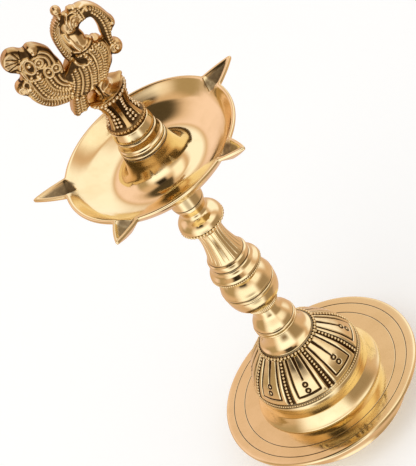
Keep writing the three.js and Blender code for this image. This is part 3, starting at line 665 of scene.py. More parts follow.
# Strokes of the casting's relief on the bird: kind, half width, then x and height point by point.
# A ring has its middle and its two half widths.
BIRD_STROKES = [
    # Tail: bands that rise from the back and curl over
    ("smooth", 0.9, -31.2, 283, -30.8, 279, -29.6, 274.8, -27, 271.2, -23, 268.6, -18.5, 267.2),
    ("hatched", 1.6, -29, 286, -29, 281, -28, 276.4, -25.6, 273.2, -22, 270.6, -18, 269, -15.5, 268.2),
    ("smooth", 0.6, -26.2, 297.5, -26.8, 293, -27, 288, -26.7, 282,
     -26, 277.6, -23.6, 274.6, -20, 271.8, -16.5, 270.2),
    ("beads", 0.75, -25, 291, -24.9, 285, -24.7, 280, -23.7, 276.6, -21.4, 273.8, -18, 271.5, -14.8, 269.9),
    ("hatched", 1.6, -22, 288, -22.1, 282, -21.2, 277.6, -19, 274.6, -16.2, 272.4, -14, 271.2),
    ("smooth", 0.5, -19.8, 286, -19.7, 280, -18.6, 277, -16.3, 274.4, -13.6, 272.6),
    ("beads", 0.7, -18, 285, -18, 280, -16.9, 277, -15, 274.8, -12.8, 273),
    ("smooth", 0.7, -15.9, 283.5, -15.8, 280.2, -14.6, 277.2, -12, 274.4),
    ("smooth", 0.6, -13.6, 283, -13.6, 280.2, -12.6, 277.6, -10.6, 275.4),
    # Scrolls and lobes at the tail's top
    ("ring", 0.8, -22.7, 296.6, 2.5, 4.2),
    ("knob", 1.3, -22.7, 297.4),
    ("beads", 0.7, -20.6, 292.8, -21.4, 290.8, -22.6, 289.4),
    ("ring", 0.75, -16.7, 287.8, 2, 3),
    ("knob", 1, -16.7, 288),
    ("ring", 0.7, -12.7, 287.4, 2.1, 2.2),
    ("knob", 0.9, -12.7, 287.4),
    ("ring", 0.7, -17.9, 295.4, 1.9, 2),
    ("knob", 0.8, -17.9, 295.4),
    ("smooth", 0.65, -19.3, 299.2, -16.4, 298.6, -14.2, 296.4, -13.6, 293.6, -14.3, 290.9),
    ("smooth", 0.65, -17.5, 301, -14.4, 299.9, -12.2, 297.4, -11.5, 294.2, -11.7, 290.6),
    ("smooth", 0.6, -15.8, 292.4, -17.6, 291.8, -19.4, 292.8),
    ("smooth", 0.8, -9.6, 289, -10.4, 286, -11.4, 283.6),
    ("smooth", 0.8, -21.2, 301.2, -23.6, 301.8, -25.8, 300.6, -27.4, 298.2),
    ("groove", 0.55, -25.2, 303.4, -27.4, 305.6, -29.6, 307),
    ("groove", 0.55, -25.4, 302.6, -28.6, 303.8, -31.6, 304.4),
    ("groove", 0.55, -25.6, 301.6, -28.8, 301.6, -32.4, 301),
    ("groove", 0.5, -24.6, 303.4, -25, 306.2, -25.6, 308.2),
    ("smooth", 0.6, -20.4, 289.6, -23.6, 288.4, -26.6, 290.8, -27.6, 295.6, -26.6, 299.6, -23.6, 301.2),
    ("smooth", 0.5, -26.4, 288.6, -28.4, 291.6, -29.2, 295.2, -28.6, 298.6),
    ("groove", 0.5, -24, 303, -22.9, 305, -22.3, 306.6),
    ("groove", 0.5, -31.5, 300.2, -28.8, 299.6, -27.2, 297.6),
    ("groove", 0.5, -19.4, 305.6, -19, 303.2, -19.2, 300.6),
    ("groove", 0.4, -19.4, 300.3, -17, 299.8, -14.6, 301.4),
    ("knob", 1.1, -17.7, 301.6),
    ("ring", 0.6, -32.2, 287.9, 1.7, 1.7),
    ("ring", 0.55, -29, 289, 1.6, 2),
    ("groove", 0.35, -31.9, 292.2, -30, 291.9, -28.6, 292.4),
    ("smooth", 0.6, -31.2, 285.4, -29.6, 286.8, -27.6, 286.6),
    # Hanging feathers
    ("hatched", 1.35, -13.9, 266.8, -15.8, 262.4, -17.4, 258.2, -18, 255.4),
    ("smooth", 0.45, -12.2, 266.2, -13.9, 262, -15.6, 257.6, -16.3, 254),
    ("hatched", 1.15, -10.6, 265.6, -12.3, 261.4, -13.8, 257.4, -14.4, 254.6),
    ("smooth", 0.5, -8.8, 265.4, -10.4, 261.2, -11.6, 257.4, -12.3, 255.2),
    # Feather bands over breast and wing
    ("smooth", 0.9, 12.7, 284.5, 13.1, 280.5, 12.2, 276.6, 9.9, 273.2, 7.6, 270.6, 5.6, 267.6),
    ("hatched", 1.15, 10.4, 285, 10.9, 281, 10.1, 277.4, 8.2, 274, 6, 270.8, 4.3, 267.4),
    ("smooth", 0.5, 8.5, 285, 9, 281, 8.2, 277.4, 6.4, 274, 4.6, 270.6, 3, 267),
    ("hatched", 1.1, 6.6, 284.8, 7.1, 281, 6.3, 277.4, 4.9, 274, 3.2, 270.4, 1.8, 267),
    ("smooth", 0.55, 4.6, 284.6, 5, 281.4, 4.4, 277.6, 3.2, 274, 1.8, 270.6, 0.2, 267.4),
    ("hatched", 1.1, 2.2, 283.6, 2.6, 280.6, 2.1, 277.2, 1, 273.8, -0.5, 270.4, -2.2, 267.2),
    ("smooth", 0.55, 0.2, 278.6, -0.6, 275, -1.8, 271.6, -3.6, 268.2, -5.6, 266),
    ("hatched", 1.05, -1.9, 279.4, -2.5, 276, -3.7, 272.8, -5.5, 269.6, -8.2, 266.8),
    ("smooth", 0.55, -4, 280.2, -4.6, 276.6, -5.9, 273.4, -7.8, 270.4, -10.4, 267.6),
    ("hatched", 1.05, -6.2, 280.6, -6.8, 277.2, -8.1, 274, -10.2, 271, -13, 268.2),
    ("beads", 0.6, -8.4, 280.2, -9, 277.4, -10.4, 274.4, -12.6, 271.6, -15.4, 268.8),
    # Neck rings, web and scoop behind the neck
    ("beads", 0.72, -1.4, 286, 1.2, 285.5, 4.6, 285.5, 8, 286.2, 11.4, 287.6),
    ("smooth", 0.75, -1.2, 288, 2.6, 287.2, 6.6, 287.6, 10.2, 289),
    ("groove", 0.4, -1.6, 287, 2, 286.4, 6, 286.6, 10.8, 288.2),
    ("smooth", 0.7, -3.8, 285.8, -3.2, 282.4, -1.4, 280.4, 0.8, 279.9, 3.2, 281.4),
    ("groove", 1, -2.6, 286.5, -1.2, 283.2, 0.6, 282.2),
    # Crest band, neck and head
    ("hatched", 1.2, 2, 308.4, -1, 306.9, -3.2, 304.4, -4.6, 300.8, -5.2, 296, -5.2, 291, -4.8, 287),
    ("smooth", 0.45, 1.2, 306.2, -0.8, 305, -2.3, 302.8, -3.3, 299.8, -3.6, 295.6, -3.5, 291, -3.1, 287.4),
    ("smooth", 0.7, -0.4, 304.2, -1.7, 301.6, -2.4, 298.4, -2.5, 294, -2.1, 289.4),
    ("smooth", 1.3, -0.4, 299.4, -0.3, 295.6, 0.4, 291.8, 1.5, 288.6),
    ("smooth", 0.7, 4.4, 300.8, 5, 303.6, 7.2, 305.2, 9.6, 304.2),
    ("smooth", 0.6, 5.8, 300.9, 6.4, 302.6, 8, 303, 9.4, 302),
    ("groove", 0.35, 3.2, 300.6, 4.6, 299.6, 6.4, 299, 9.6, 299.4),
    ("knob", 1.05, 7.3, 300.7),
    ("smooth", 0.65, 3.6, 304.6, 5.8, 307.2, 9, 307.2, 10.2, 305.4),
    ("beads", 0.62, 10.9, 299.2, 11.1, 302, 11, 305, 10.4, 308.4),
    ("beads", 0.5, 12.2, 299.4, 12.4, 302.2, 12.4, 305, 11.9, 307.6),
    # Plume that curls down before the beak
    ("smooth", 0.75, 13.2, 306.8, 16.2, 306.2, 19.2, 303.6, 21, 299.6, 22.2, 295, 22.8, 291),
    ("smooth", 0.6, 13.4, 303.8, 14.6, 304.9, 15.9, 304.6),
    ("hatched", 1, 15.6, 303.4, 18.2, 301.8, 19.8, 298, 20.4, 293.6,
     19.9, 289, 18.6, 284.6, 17.4, 280.4, 17, 278),
    ("beads", 0.7, 16.8, 300.2, 17.9, 297.2, 18.3, 293.4, 17.8, 289.2, 16.7, 285, 15.6, 281, 15.2, 278),
    ("knob", 1.5, 22, 289.2),
    ("smooth", 0.7, 13.2, 277.6, 15.6, 278.6, 18.6, 278),
    ("knob", 1.5, 17.2, 276),
    # Legs with a round boss
    ("ring", 0.6, 1.3, 262.4, 2.9, 3.1),
    ("smooth", 1, -4.2, 266.4, -4, 262.6, -4.4, 259.8),
    ("groove", 0.4, -2.4, 266, -2.2, 262.4, -3, 259.6),
]
STROKE_WIDENING = {"hatched": 1.22, "smooth": 1.2, "beads": 1.15, "ring": 1.15, "knob": 1.1, "groove": 1.0}
# Smooth places that stay clean on head, neck, breast and balls, with a faint painted highlight: x, height and
# reach
CLEAN_SPOTS = (
    (3.5, 301.5, 3.6), (3.2, 311.5, 3.4), (1.6, 294, 3.2), (-16.8, 303.3, 2.6), (-28.5, 304.5, 5.0),
    (3.0, 262, 6.0), (17.0, 275.6, 3.6), (8.5, 302.5, 3.0), (4.5, 291, 3.5), (-32.3, 288, 2.4),
)


def stroke_relief(place):
    """Relief of all strokes at places (x, height): rise in mm, cover and cut. A ridge is half a
    circle across its line, a hatched one is cut across every 1.5 mm, a row of beads is a ball
    every 2.1 half widths, a ring is an oval ridge, a knob is a ball over a line 0.01 mm long, and
    a groove is a hollow."""
    high, cut, cover = np.zeros((3, len(place)))
    for kind, half, *numbers in BIRD_STROKES:
        half *= STROKE_WIDENING[kind]
        line = np.reshape(numbers, (-1, 2))
        if kind == "ring":
            turn = np.linspace(0, TAU, 40)
            line = even(line[0] + line[1] * np.stack([np.cos(turn), np.sin(turn)], axis=1), 0.2)
        elif kind == "knob":
            line = line + [(0, 0), (0.01, 0)]
        else:
            line = even(spline(line, 12 * len(line)), 0.2)
        near = (place > line.min(axis=0) - half) & (place < line.max(axis=0) + half)
        near = np.flatnonzero(near.all(axis=1))
        gaps = np.hypot(place[near, None, 0] - line[:, 0], place[near, None, 1] - line[:, 1])
        across = gaps.min(axis=1) / half
        along = run_of(line)[np.argmin(gaps, axis=1)]
        dome = np.sqrt(np.clip(1 - across**2, 0, 1))
        if kind == "groove":
            cut[near] = np.maximum(cut[near], 0.55 * dome**2)
            continue
        if kind == "hatched":
            dome = dome * (0.6 + 0.4 * np.cos(along * TAU / 1.5))
        if kind == "beads":
            pitch = half * 2.1
            from_bead = (along + pitch / 2) % pitch - pitch / 2
            dome = np.sqrt(np.clip(1 - across**2 - (from_bead / half) ** 2, 0, 1))
        rise = half * 0.8 if kind == "knob" else min(half, 1.5) * 0.85
        high[near] = np.maximum(high[near], rise * dome)
        cover[near] = np.maximum(cover[near], dome * (0.93 if kind in ("smooth", "ring") else 1.0))
    return high - cut, cover, cut


def smoothed(mesh, rounds):
    """Evens a mesh out: each round moves every point half way to the mean of its neighbours."""
    count = len(mesh.vertices)
    points = np.empty(count * 3)
    mesh.vertices.foreach_get("co", points)
    points = points.reshape(-1, 3)
    edges = np.empty(len(mesh.edges) * 2, dtype=np.int64)
    mesh.edges.foreach_get("vertices", edges)
    a, b = edges.reshape(-1, 2).T
    degree = np.bincount(a, minlength=count) + np.bincount(b, minlength=count)
    for _ in range(rounds):
        total = np.stack([
            np.bincount(a, points[b, i], count) + np.bincount(b, points[a, i], count) for i in range(3)
        ], axis=1)
        points = (points + total / degree[:, None]) / 2
    mesh.vertices.foreach_set("co", points.reshape(-1))
    mesh.update()
    return points


def recast_bird():
    """The bird's solid above the capital, cut off flat and recast on a 0.3 mm grid."""
    shaped = bmesh.new()
    shaped.from_mesh(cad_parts["bird_finial"].data)
    bmesh.ops.remove_doubles(shaped, verts=shaped.verts, dist=1e-6)
    whole = shaped.verts[:] + shaped.edges[:] + shaped.faces[:]
    low = (0, 0, (PLATE_TOP - 0.6) * MM)
    cut = bmesh.ops.bisect_plane(shaped, geom=whole, plane_co=low, plane_no=(0, 0, 1), clear_inner=True)
    rim = [e for e in cut["geom_cut"] if isinstance(e, bmesh.types.BMEdge)]
    bmesh.ops.holes_fill(shaped, edges=rim)
    rough = bpy.data.meshes.new("bird_rough")
    shaped.to_mesh(rough)
    shaped.free()
    holder = bpy.data.objects.new("bird_rough", rough)
    bpy.context.collection.objects.link(holder)
    remesh = holder.modifiers.new("Remesh", "REMESH")
    remesh.mode = "VOXEL"
    remesh.voxel_size = 0.3 * MM
    bpy.context.view_layer.update()
    mesh = bpy.data.meshes.new_from_object(holder.evaluated_get(bpy.context.evaluated_depsgraph_get()))
    bpy.data.objects.remove(holder)
    bpy.data.meshes.remove(rough)
    if len(mesh.vertices) < 1000:
        raise RuntimeError("the bird's grid came out empty")
    return mesh


def bird_mesh():
    """The recast bird, evened out, then raised along Y by the relief of its strokes where its
    surface faces sideways. Its point attribute holds patina on the ground between strokes and in grooves,
    painted shade down the strokes' flanks, and below 0 a painted highlight on their crests and clean spots."""
    mesh = recast_bird()
    points = smoothed(mesh, 14) / MM
    normals = np.empty(len(mesh.vertices) * 3)
    mesh.vertices.foreach_get("normal", normals)
    sideways = normals.reshape(-1, 3)[:, 1]
    place = points[:, ::2] - (0, PLATE_TOP - LAID_PLATE_TOP)
    height, cover, cut = stroke_relief(place)
    points[:, 1] += height * np.sign(sideways) * ease(np.abs(sideways), 0.25, 0.75)
    mesh.vertices.foreach_set("co", (points * MM).reshape(-1))
    mesh.update()
    plain = np.zeros(len(points))
    for x, z, reach in CLEAN_SPOTS:
        plain = np.maximum(plain, 1 - ease(np.hypot(*(place - (x, z)).T), reach * 0.8, reach * 1.1))
    # Patina on the ground between strokes, and painted shade that grows down each stroke's flanks so that it
    # looks round
    patina_and_painted_light = (1 - ease(cover, -0.1, 0.92)) * (1 - plain) * ease(np.abs(sideways), 0.3, 0.7)
    patina_and_painted_light = np.clip(0.78 * patina_and_painted_light + 0.75 * ease(cut, 0.1, 0.4), 0, 1)
    # Painted highlight: crests of strokes and clean spots go below 0, towards the pale rubbed colour
    patina_and_painted_light = patina_and_painted_light - np.where(patina_and_painted_light < 0.25, np.maximum(0.9 * ease(cover, 0.84, 0.98), 0.35 * plain), 0)
    attribute = mesh.attributes.new("patina_and_painted_light", "FLOAT", "POINT")
    attribute.data.foreach_set("value", patina_and_painted_light.astype(np.float32))
    return mesh


# Stem and collar


def neck_outline():
    """Short cone, double ridge and bulb, bored for the tie rod."""
    cone = spline([(15.4, 62.3), (13.6, 63.8), (12.1, 66.4), (11.35, 69.2), (11.1, 71.6), (11.1, 72.6)], 24)
    bulb = spline([
        (11.75, 76.8), (11.75, 77.8), (11.0, 79.5), (9.7, 81.4), (8.6, 82.9), (7.95, 84.2), (7.7, 85.8),
        (7.7, 88.8),
    ], 30)
    ridges = [
        (11.2, 72.8), (12.2, 73.1), (12.5, 73.7), (12.2, 74.3), (11.5, 74.6),
        (11.5, 74.9), (12.3, 75.2), (12.5, 75.8), (12.2, 76.3), (11.7, 76.6),
    ]
    bore = [(ROD_BORE, 88.8), (ROD_BORE, 62.75), (14.3, 62.75)]
    return [(14.3, 61.62), (15.4, 61.62), *cone, *ridges, *bulb, *bore]


def vase_outline():
    """Milled ring at the foot, belly with two ridges, and shoulder."""
    ring = [(8.2, 88.92), (8.7, 89.6), (9.25, 90.2), (9.35, 91.8), (9.3, 93.0), (8.95, 93.4)]
    belly = spline([
        (8.95, 93.5), (10.6, 94.2), (12.9, 96.0), (14.2, 98.9), (14.85, 102.4), (14.85, 104.6),
    ], 30)
    ridges = [
        (15.05, 105.1), (15.15, 105.8), (15.05, 106.4), (14.6, 106.8),
        (14.6, 107.3), (15.05, 107.7), (15.15, 108.3), (15.05, 108.8),
    ]
    shoulder = spline([(14.85, 109.0), (14.3, 111.2), (13.1, 113.6), (11.3, 115.8), (9.0, 117.7)], 24)
    return [*ring, *belly, *ridges, *shoulder, (ROD_BORE, 117.7), (ROD_BORE, 88.92)]


def milling(radius, height, degrees):
    """Sixty fine ridges round the vase's ring: a cosine wave of the angle, 0.16 mm high."""
    return 0.16 * np.cos(np.radians(degrees) * 60) * between(height, 90.2, 90.6, 93.1, 93.5) * (radius > 6)


def column_outline():
    """Flared ring, band and two ridges below the waist, which widens again to the top."""
    foot = [
        (11, 117.82), (13.2, 118.6), (13.8, 119.4), (14.0, 120.3), (14.6, 121.4), (14.2, 122.4),
        (13.2, 123.3), (12.3, 124.1), (11.8, 125.0), (11.65, 126.4), (11.1, 126.9), (10.95, 127.5),
        (11.4, 128.0), (11.55, 129.4), (11.45, 130.8), (10.7, 131.4), (10.3, 131.8), (10.45, 132.4),
    ]
    waist = spline([
        (10.35, 132.6), (9.3, 135.4), (8.45, 138.8), (7.75, 142.4), (7.35, 146.4), (7.35, 149.4),
        (7.75, 152.4), (8.5, 154.8),
    ], 50)
    return [*foot, *waist, (8.75, 155.8), (ROD_BORE, 155.8), (ROD_BORE, 117.82)]


def fluting(count, depth):
    """Ripple of the column's waist: flat facets, parted by grooves of this depth. A facet lies
    inside the circle by the cosine of half its angle over that of the angle from its middle."""
    half = 180 / count

    def ripple(radius, height, degrees):
        """What the waist's facets and grooves add to the radius."""
        from_groove = half - np.abs((degrees - 9.6) % (2 * half) - half)
        flat = radius * (math.cos(math.radians(half)) / np.cos(np.radians(from_groove - half)) - 1)
        on_waist = between(height, 132.6, 134.2, 153.6, 154.9) * (radius > 5)
        return (flat - depth * stripe(from_groove, 2.2, 2.0)) * on_waist

    return ripple


def knop_outline():
    """Knop at the foot, then a bell that narrows and flares into the cup under the dish."""
    foot = [
        (8.6, 155.92), (10.4, 156.5), (11.3, 157.1), (11.6, 157.8), (11.6, 158.5), (12.2, 158.9),
        (12.5, 159.2),
    ]
    cup = spline([
        (12.55, 159.6), (11.9, 161.6), (10.4, 163.5), (8.6, 164.9), (7.5, 166.0), (7.1, 167.2), (7.2, 168.6),
        (7.9, 170.4), (8.6, 172.2), (9.0, 174.0),
    ], 50)
    return [*foot, *cup, (5.3, 174.0), (5.3, 165.7), (ROD_BORE, 165.7), (ROD_BORE, 155.92)]


def collar_outline():
    """Double ring below, waist, and two bands above, bored for the finial's spigot."""
    return [
        (12.6, 219.62), (13.05, 219.9), (13.15, 220.4), (12.95, 220.9), (12.45, 221.3), (12.45, 221.7),
        (12.8, 222.1), (12.9, 222.7), (12.7, 223.3), (12.1, 223.8), (11.75, 224.6), (11.65, 226.4),
        (11.6, 228.2), (11.1, 228.7), (10.9, 229.0), (11.2, 229.5), (11.55, 230.0), (11.4, 231.6),
        (11.0, 233.4), (10.8, 234.4), (10.75, 235.0), (10.4, 235.4), (4.3, 235.4), (4.3, 219.62),
    ]


# Settings


class LampFinishes(bpy.types.PropertyGroup):
    """Colours of the lamp's brass, as sRGB hex values."""

    polished: StringProperty(name="Polished brass", description="Clean polished brass", default="#EFD8A0")
    tarnish: StringProperty(name="Tarnish", description="Thin tarnish on polished brass", default="#D6BA7C")
    antique: StringProperty(name="Antique brass", description="Casting, hardly browned", default="#D2AC6C")
    browned: StringProperty(name="Browned brass", description="Browned casting", default="#8C6532")
    # Partly rubbed high spots, partly a painted highlight on crests and beads
    rubbed_highlight: StringProperty(name="Rubbed brass", description="Casting's rubbed high spots", default="#F0DAAA")
    patina: StringProperty(name="Patina", description="Dark patina in the recesses", default="#3E2812")


class LampDetails(bpy.types.PropertyGroup):
    """How finely and how deeply the lamp's surfaces are worked."""

    round_sides: IntProperty(
        name="Sides of round pieces", description="Sides of the turned pieces", default=240, min=48, max=720
    )
    dome_sides: IntProperty(
        name="Sides of the dome", description="Sides of the engraved dome", default=560, min=240, max=720
    )
    flutes: IntProperty(name="Flutes", description="Flutes round the column", default=24, min=6, max=48)
    flute_depth: FloatProperty(
        name="Flute depth", description="Depth of the column's flutes", default=0.3 * MM, unit="LENGTH"
    )


# Operators


class MakeFootPlate(bpy.types.Operator):
    """Turn the flat brim and its bowl-shaped foot"""

    bl_idname = "lamp.foot_plate"
    bl_label = "Foot plate"

    def execute(self, context):
        sides = context.scene.lamp_details.round_sides
        brim = foot_plate_outline()
        lines = (40, 56, BRIM_TOP - 0.5, BRIM_TOP - 0.03)
        lathe_piece("foot_plate", "base_plate", brim, "base", sides, corner=0.06, dark=[lines])
        return {"FINISHED"}


class MakeEngravedDome(bpy.types.Operator):
    """Chase the dome's panels, lines and rings, and set its beads"""

    bl_idname = "lamp.engraved_dome"
    bl_label = "Engraved dome"

    def execute(self, context):
        sides = context.scene.lamp_details.dome_sides
        line, run = dome_outside()
        t = np.concatenate([np.linspace(SKIRT_EDGE, 25.4, 30)[:-1], np.linspace(25.4, run[-1], 102)])
        radius, height = np.interp(t, run, line[:, 0]), np.interp(t, run, line[:, 1])
        slope = np.gradient(np.stack([radius, height], axis=1), axis=0)
        slope /= np.linalg.norm(slope, axis=1)[:, None]
        azimuth = np.linspace(-180, 180, sides, endpoint=False)[:, None]
        lift, patina_and_painted_light = engraving(*np.broadcast_arrays(t, radius, azimuth))
        outside = round_the_axis(radius + lift * slope[:, 1], height - lift * slope[:, 0], azimuth + FRONT)
        inner = np.array([
            (16.2, DOME_TOP), (10, DOME_TOP), (ROD_BORE, DOME_TOP), (ROD_BORE, 50.5), (9.5, 50.5),
            (9.5, 54.4), (15, 54.6), (20.5, 52), (25.5, 46.5), (28.6, 40), (30.0, 34), (30.2, 29.2),
            (30.9, 22), (30.9, 18.2), (33.5, 18.2), (33.5, BRIM_TOP + 0.02), (35, BRIM_TOP + 0.02),
        ])
        grid = np.concatenate([outside, round_the_axis(*inner.T, azimuth + FRONT)], axis=1)
        patina_and_painted_light = np.hstack([patina_and_painted_light, np.full((sides, 1), 0.6), np.zeros((sides, len(inner) - 1))])
        finish = material_for(engraved_brass)
        shell = [sheet(grid, True, True, patina_and_painted_light)]
        make_piece("dome_shell", shell, "base", finish, ("engraved_dome",))
        columns = FIRST_COLUMN + PANEL * np.arange(DOME_COLUMNS)
        t, a = (values.ravel() for values in np.meshgrid(np.arange(29.3, 53.9, 1.88), columns))
        beads = [balls(on_dome(t, a, -0.12), np.interp(t, [29, 54], [0.86, 0.78]))]
        for count, at, lift, size, darkening in ((50, 54.75, -0.1, 0.94, 0.2), (136, 27.05, -0.2, 0.62, 0.0)):
            beads.append(balls(on_dome(at, np.arange(count) * 360 / count, lift), size, darkening))
        make_piece("dome_beads", beads, "base", finish)
        return {"FINISHED"}


class MakeStem(bpy.types.Operator):
    """Turn the neck, the vase, the fluted column and the knop"""

    bl_idname = "lamp.stem"
    bl_label = "Stem"

    def execute(self, context):
        details = context.scene.lamp_details
        sides = details.round_sides
        flutes = fluting(details.flutes, details.flute_depth / MM)
        fine_edge, coarse_edge = bead_ring(72, 14.2, 120.2, 0.66), bead_ring(40, 11.9, 157.9, 0.96)
        lathe_piece("neck", "stem_neck", neck_outline(), "stem", sides)
        lathe_piece("vase", "stem_vase", vase_outline(), "stem", 360, milling)
        lathe_piece(
            "column", "fluted_column", column_outline(), "stem", 480, flutes,
            longest=1.8, more=[fine_edge], dark=[(13.4, 15, 119.2, 121.2)],
        )
        lathe_piece(
            "knop", "stem_knop", knop_outline(), "stem", sides,
            more=[coarse_edge], dark=[(11, 12.3, 156.9, 158.9)],
        )
        return {"FINISHED"}


class MakeOilDish(bpy.types.Operator):
    """Shape the open bowl with its pillar and five wick spouts"""

    bl_idname = "lamp.oil_dish"
    bl_label = "Oil dish"

    def execute(self, context):
        finish = material_for(polished_brass)
        make_piece("dish", [dish_grid()], "dish", finish, ("oil_dish",))
        return {"FINISHED"}


class MakeCollar(bpy.types.Operator):
    """Turn the ringed collar on the dish's pillar"""

    bl_idname = "lamp.collar"
    bl_label = "Collar"

    def execute(self, context):
        sides = context.scene.lamp_details.round_sides
        lathe_piece("collar", "pillar_collar", collar_outline(), "dish", sides)
        return {"FINISHED"}


class MakeFinial(bpy.types.Operator):
    """Cast the capital with its ribs and beads, and the crested bird on it"""

    bl_idname = "lamp.finial"
    bl_label = "Capital and bird"

    def execute(self, context):
        cast = material_for(antique_brass)
        make_piece("capital", capital_parts(), "finial", cast, ("bird_finial",))
        finish_piece("bird", bird_mesh(), "finial", cast, ("bird_finial",))
        return {"FINISHED"}


class FinishHiddenParts(bpy.types.Operator):
    """Give the closing disc, the tie rod and the washers their materials"""

    bl_idname = "lamp.hidden_parts"
    bl_label = "Disc, rod and washers"

    def execute(self, context):
        washers = ("stem_washer", "dish_washer", "finial_washer")
        for nodes, maker in ((("closing_disc", "tie_rod"), plain_brass), (washers, tanned_leather)):
            for node in nodes:
                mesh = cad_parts[node].data
                mesh.materials.clear()
                mesh.materials.append(material_for(maker))
        return {"FINISHED"}


class SetStage(bpy.types.Operator):
    """Lay the floor and set the studio's light and the camera"""

    bl_idname = "lamp.stage"
    bl_label = "Floor, light and camera"

    def execute(self, context):
        lay_floor()
        light_studio(context.scene)
        place_camera(context.scene)
        return {"FINISHED"}


# Stage


def lay_floor():
    """A wide white floor. It keeps the lamp's soft shadow, and is made up to white for the
    camera. Polished brass looks past it into the studio, whose window light it would hide."""
    material = bpy.data.materials.new("white_floor")
    tree = empty_nodes(material)
    seen = add_node(tree, "LightPath", out="Is Camera Ray")
    strength = add_node(tree, "Math", {"operation": "MULTIPLY"}, {0: seen, 1: 0.16})
    close_material(tree, {
        "Base Color": linear("#F4F3F1"), "Roughness": 0.9, "Specular IOR Level": 0.0,
        "Emission Color": linear("#FFFFFF"), "Emission Strength": strength,
    })
    mesh = bpy.data.meshes.new("floor")
    mesh.from_pydata([(-3, -3, 0), (3, -3, 0), (3, 3, 0), (-3, 3, 0)], [], [(0, 1, 2, 3)])
    mesh.materials.append(material)
    floor = bpy.data.objects.new("floor", mesh)
    bpy.context.collection.objects.link(floor)
    floor.location.z = -0.0002
    floor.visible_glossy = False


# What the brass sees: left, right, low and high of a patch in degrees, how soft its edges are and
# how soft its right edge is, then its level. Azimuth 0 is the front, and counts to the right.
# Each patch lies over those before it: a brown wall on the left, a pale one behind it, dark brown
# high up, a bright wall behind on the right, the bright window in front, soft light high on the
# right, brown shade low on the right, and two dark places, low in the window and above it.
STUDIO_PATCHES = (
    ((-125, -74, -6, 36, 9, 9), (0.52, 0.4, 0.28, 1.0)),
    ((-176, -112, 12, 50, 9, 9), (1.12, 0.9, 1.0, 1.0)),
    ((-190, 10, 57, 98, 6, 6), (0.09, 0.065, 0.04, 1.0)),
    ((96, 172, 2, 72, 12, 12), (1.25, 1.27, 1.5, 1.0)),
    ((-66, 17, -75, 34, 18, 12), (1.42, 1.46, 1.7, 1.0)),
    ((20, 70, 18, 72, 13, 13), (1.28, 1.26, 1.38, 1.0)),
    ((17, 78, -70, 16, 14, 14), (0.42, 0.32, 0.24, 1.0)),
    ((-36, 0, -40, -12, 15, 12), (0.3, 0.21, 0.14, 1.0)),
    ((-54, -12, 37, 62, 8, 8), (0.03, 0.022, 0.015, 1.0)),
)
STUDIO_WALL = (0.8, 0.58, 0.47, 1.0)
STUDIO_GREY = (0.86, 0.86, 0.86, 1.0)
WHITE = (1.0, 1.0, 1.0, 1.0)


def light_studio(scene):
    """The studio as a world: mirror rays see warm walls with the patches, rays from the camera and
    through glass see white, and all others a plain grey. One soft light is above on the left."""
    scene.world = bpy.data.worlds.new("studio")
    tree = empty_nodes(scene.world)
    toward = add_node(tree, "TexCoord", out="Generated")
    right, back, up = add_node(tree, "SeparateXYZ", {}, {0: toward}, None)
    front = add_node(tree, "Math", {"operation": "MULTIPLY"}, {0: back, 1: -1.0})
    azimuth = add_node(tree, "Math", {"operation": "ARCTAN2"}, {0: right, 1: front})
    azimuth = add_node(tree, "Math", {"operation": "DEGREES"}, {0: azimuth})
    rise = add_node(tree, "Math", {"operation": "ARCSINE"}, {0: up})
    rise = add_node(tree, "Math", {"operation": "DEGREES"}, {0: rise})

    def patch(left, right, low, high, soft, crisp):
        """Share of a direction inside a box of azimuths and heights: the product of four steps,
        two that rise to 1 and two that fall to 0."""
        share = 1.0
        sides = [(azimuth, left, soft, 0.0), (azimuth, right, crisp, 1.0)]
        sides += [(rise, low, soft, 0.0), (rise, high, soft, 1.0)]
        for angle, edge, reach, start in sides:
            limits = {0: angle, 1: edge - reach, 2: edge + reach, 3: start, 4: 1.0 - start}
            step = add_node(tree, "MapRange", SOFT_STEP, limits)
            share = add_node(tree, "Math", {"operation": "MULTIPLY"}, {0: share, 1: step})
        return share

    level = STUDIO_WALL
    for box, shade in STUDIO_PATCHES:
        level = add_node(tree, "Mix", COLOUR_MIX, {0: patch(*box), 6: level, 7: shade}, 2)
    path = add_node(tree, "LightPath", out=None)
    seen = add_node(tree, "Mix", COLOUR_MIX, {0: path["Is Glossy Ray"], 6: STUDIO_GREY, 7: level}, 2)
    for ray in ("Is Camera Ray", "Is Transmission Ray"):
        seen = add_node(tree, "Mix", COLOUR_MIX, {0: path[ray], 6: seen, 7: WHITE}, 2)
    sky = add_node(tree, "Background", {}, {"Color": seen, "Strength": 1.0})
    add_node(tree, "OutputWorld", {}, {"Surface": sky}, None)
    lamp = bpy.data.lights.new("soft_top", "AREA")
    lamp.shape = "DISK"
    lamp.size = 1.2
    lamp.energy = 4.0
    lit = bpy.data.objects.new("soft_top", lamp)
    lit.location = (-0.7, -0.5, 1.6)
    lit.rotation_euler = (Vector((0, 0, 0.1)) - lit.location).to_track_quat("-Z", "Y").to_euler()
    lit.visible_glossy = False
    bpy.context.collection.objects.link(lit)


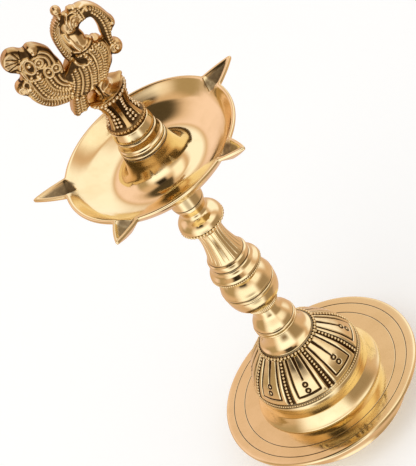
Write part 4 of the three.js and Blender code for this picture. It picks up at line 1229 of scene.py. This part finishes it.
def place_camera(scene):
    """The camera stands 1.36 m from the middle of the foot and looks 38.3 degrees down, turned
    36.6 degrees on its axis, as the photograph was taken."""
    azimuth, down, roll = -0.0014471, 0.6682349, 0.6380475
    data = bpy.data.cameras.new("camera")
    data.lens = 189.15
    data.sensor_width = 36.0
    camera = bpy.data.objects.new("camera", data)
    place = Matrix.Translation((0.0, -0.9906143, 0.9305345))
    for angle, axis in ((-azimuth, "Z"), (math.pi / 2 - down, "X"), (-roll, "Z")):
        place = place @ Matrix.Rotation(angle, 4, axis)
    camera.matrix_world = place
    bpy.context.collection.objects.link(camera)
    scene.camera = camera
    scene.view_settings.view_transform = "Standard"


# Panel and registration

OPERATORS = (
    MakeFootPlate, MakeEngravedDome, MakeStem, MakeOilDish, MakeCollar, MakeFinial, FinishHiddenParts,
    SetStage,
)


class LampPanel(bpy.types.Panel):
    """Lists the lamp's pieces and their settings"""

    bl_idname = "VIEW3D_PT_oil_lamp"
    bl_label = "Standing Oil Lamp"
    bl_space_type = "VIEW_3D"
    bl_region_type = "UI"
    bl_category = "Oil Lamp"

    def draw(self, context):
        layout = self.layout
        for group in (context.scene.lamp_finishes, context.scene.lamp_details):
            # The first two of a group's properties are Blender's own
            for key in group.bl_rna.properties.keys()[2:]:
                layout.prop(group, key)
        for operator in OPERATORS:
            layout.operator(operator.bl_idname)


CLASSES = (LampFinishes, LampDetails, *OPERATORS, LampPanel)


def register():
    """Registers the classes and the two groups of settings."""
    for cls in CLASSES:
        bpy.utils.register_class(cls)
    bpy.types.Scene.lamp_finishes = PointerProperty(type=LampFinishes)
    bpy.types.Scene.lamp_details = PointerProperty(type=LampDetails)


def unregister():
    """Takes back what register added, in reverse."""
    del bpy.types.Scene.lamp_details
    del bpy.types.Scene.lamp_finishes
    for cls in reversed(CLASSES):
        bpy.utils.unregister_class(cls)


def main():
    """Builds the stage and the whole lamp."""
    register()
    bpy.ops.lamp.stage()
    bpy.ops.lamp.foot_plate()
    bpy.ops.lamp.engraved_dome()
    bpy.ops.lamp.stem()
    bpy.ops.lamp.oil_dish()
    bpy.ops.lamp.collar()
    bpy.ops.lamp.finial()
    bpy.ops.lamp.hidden_parts()


if __name__ == "__main__":
    main()
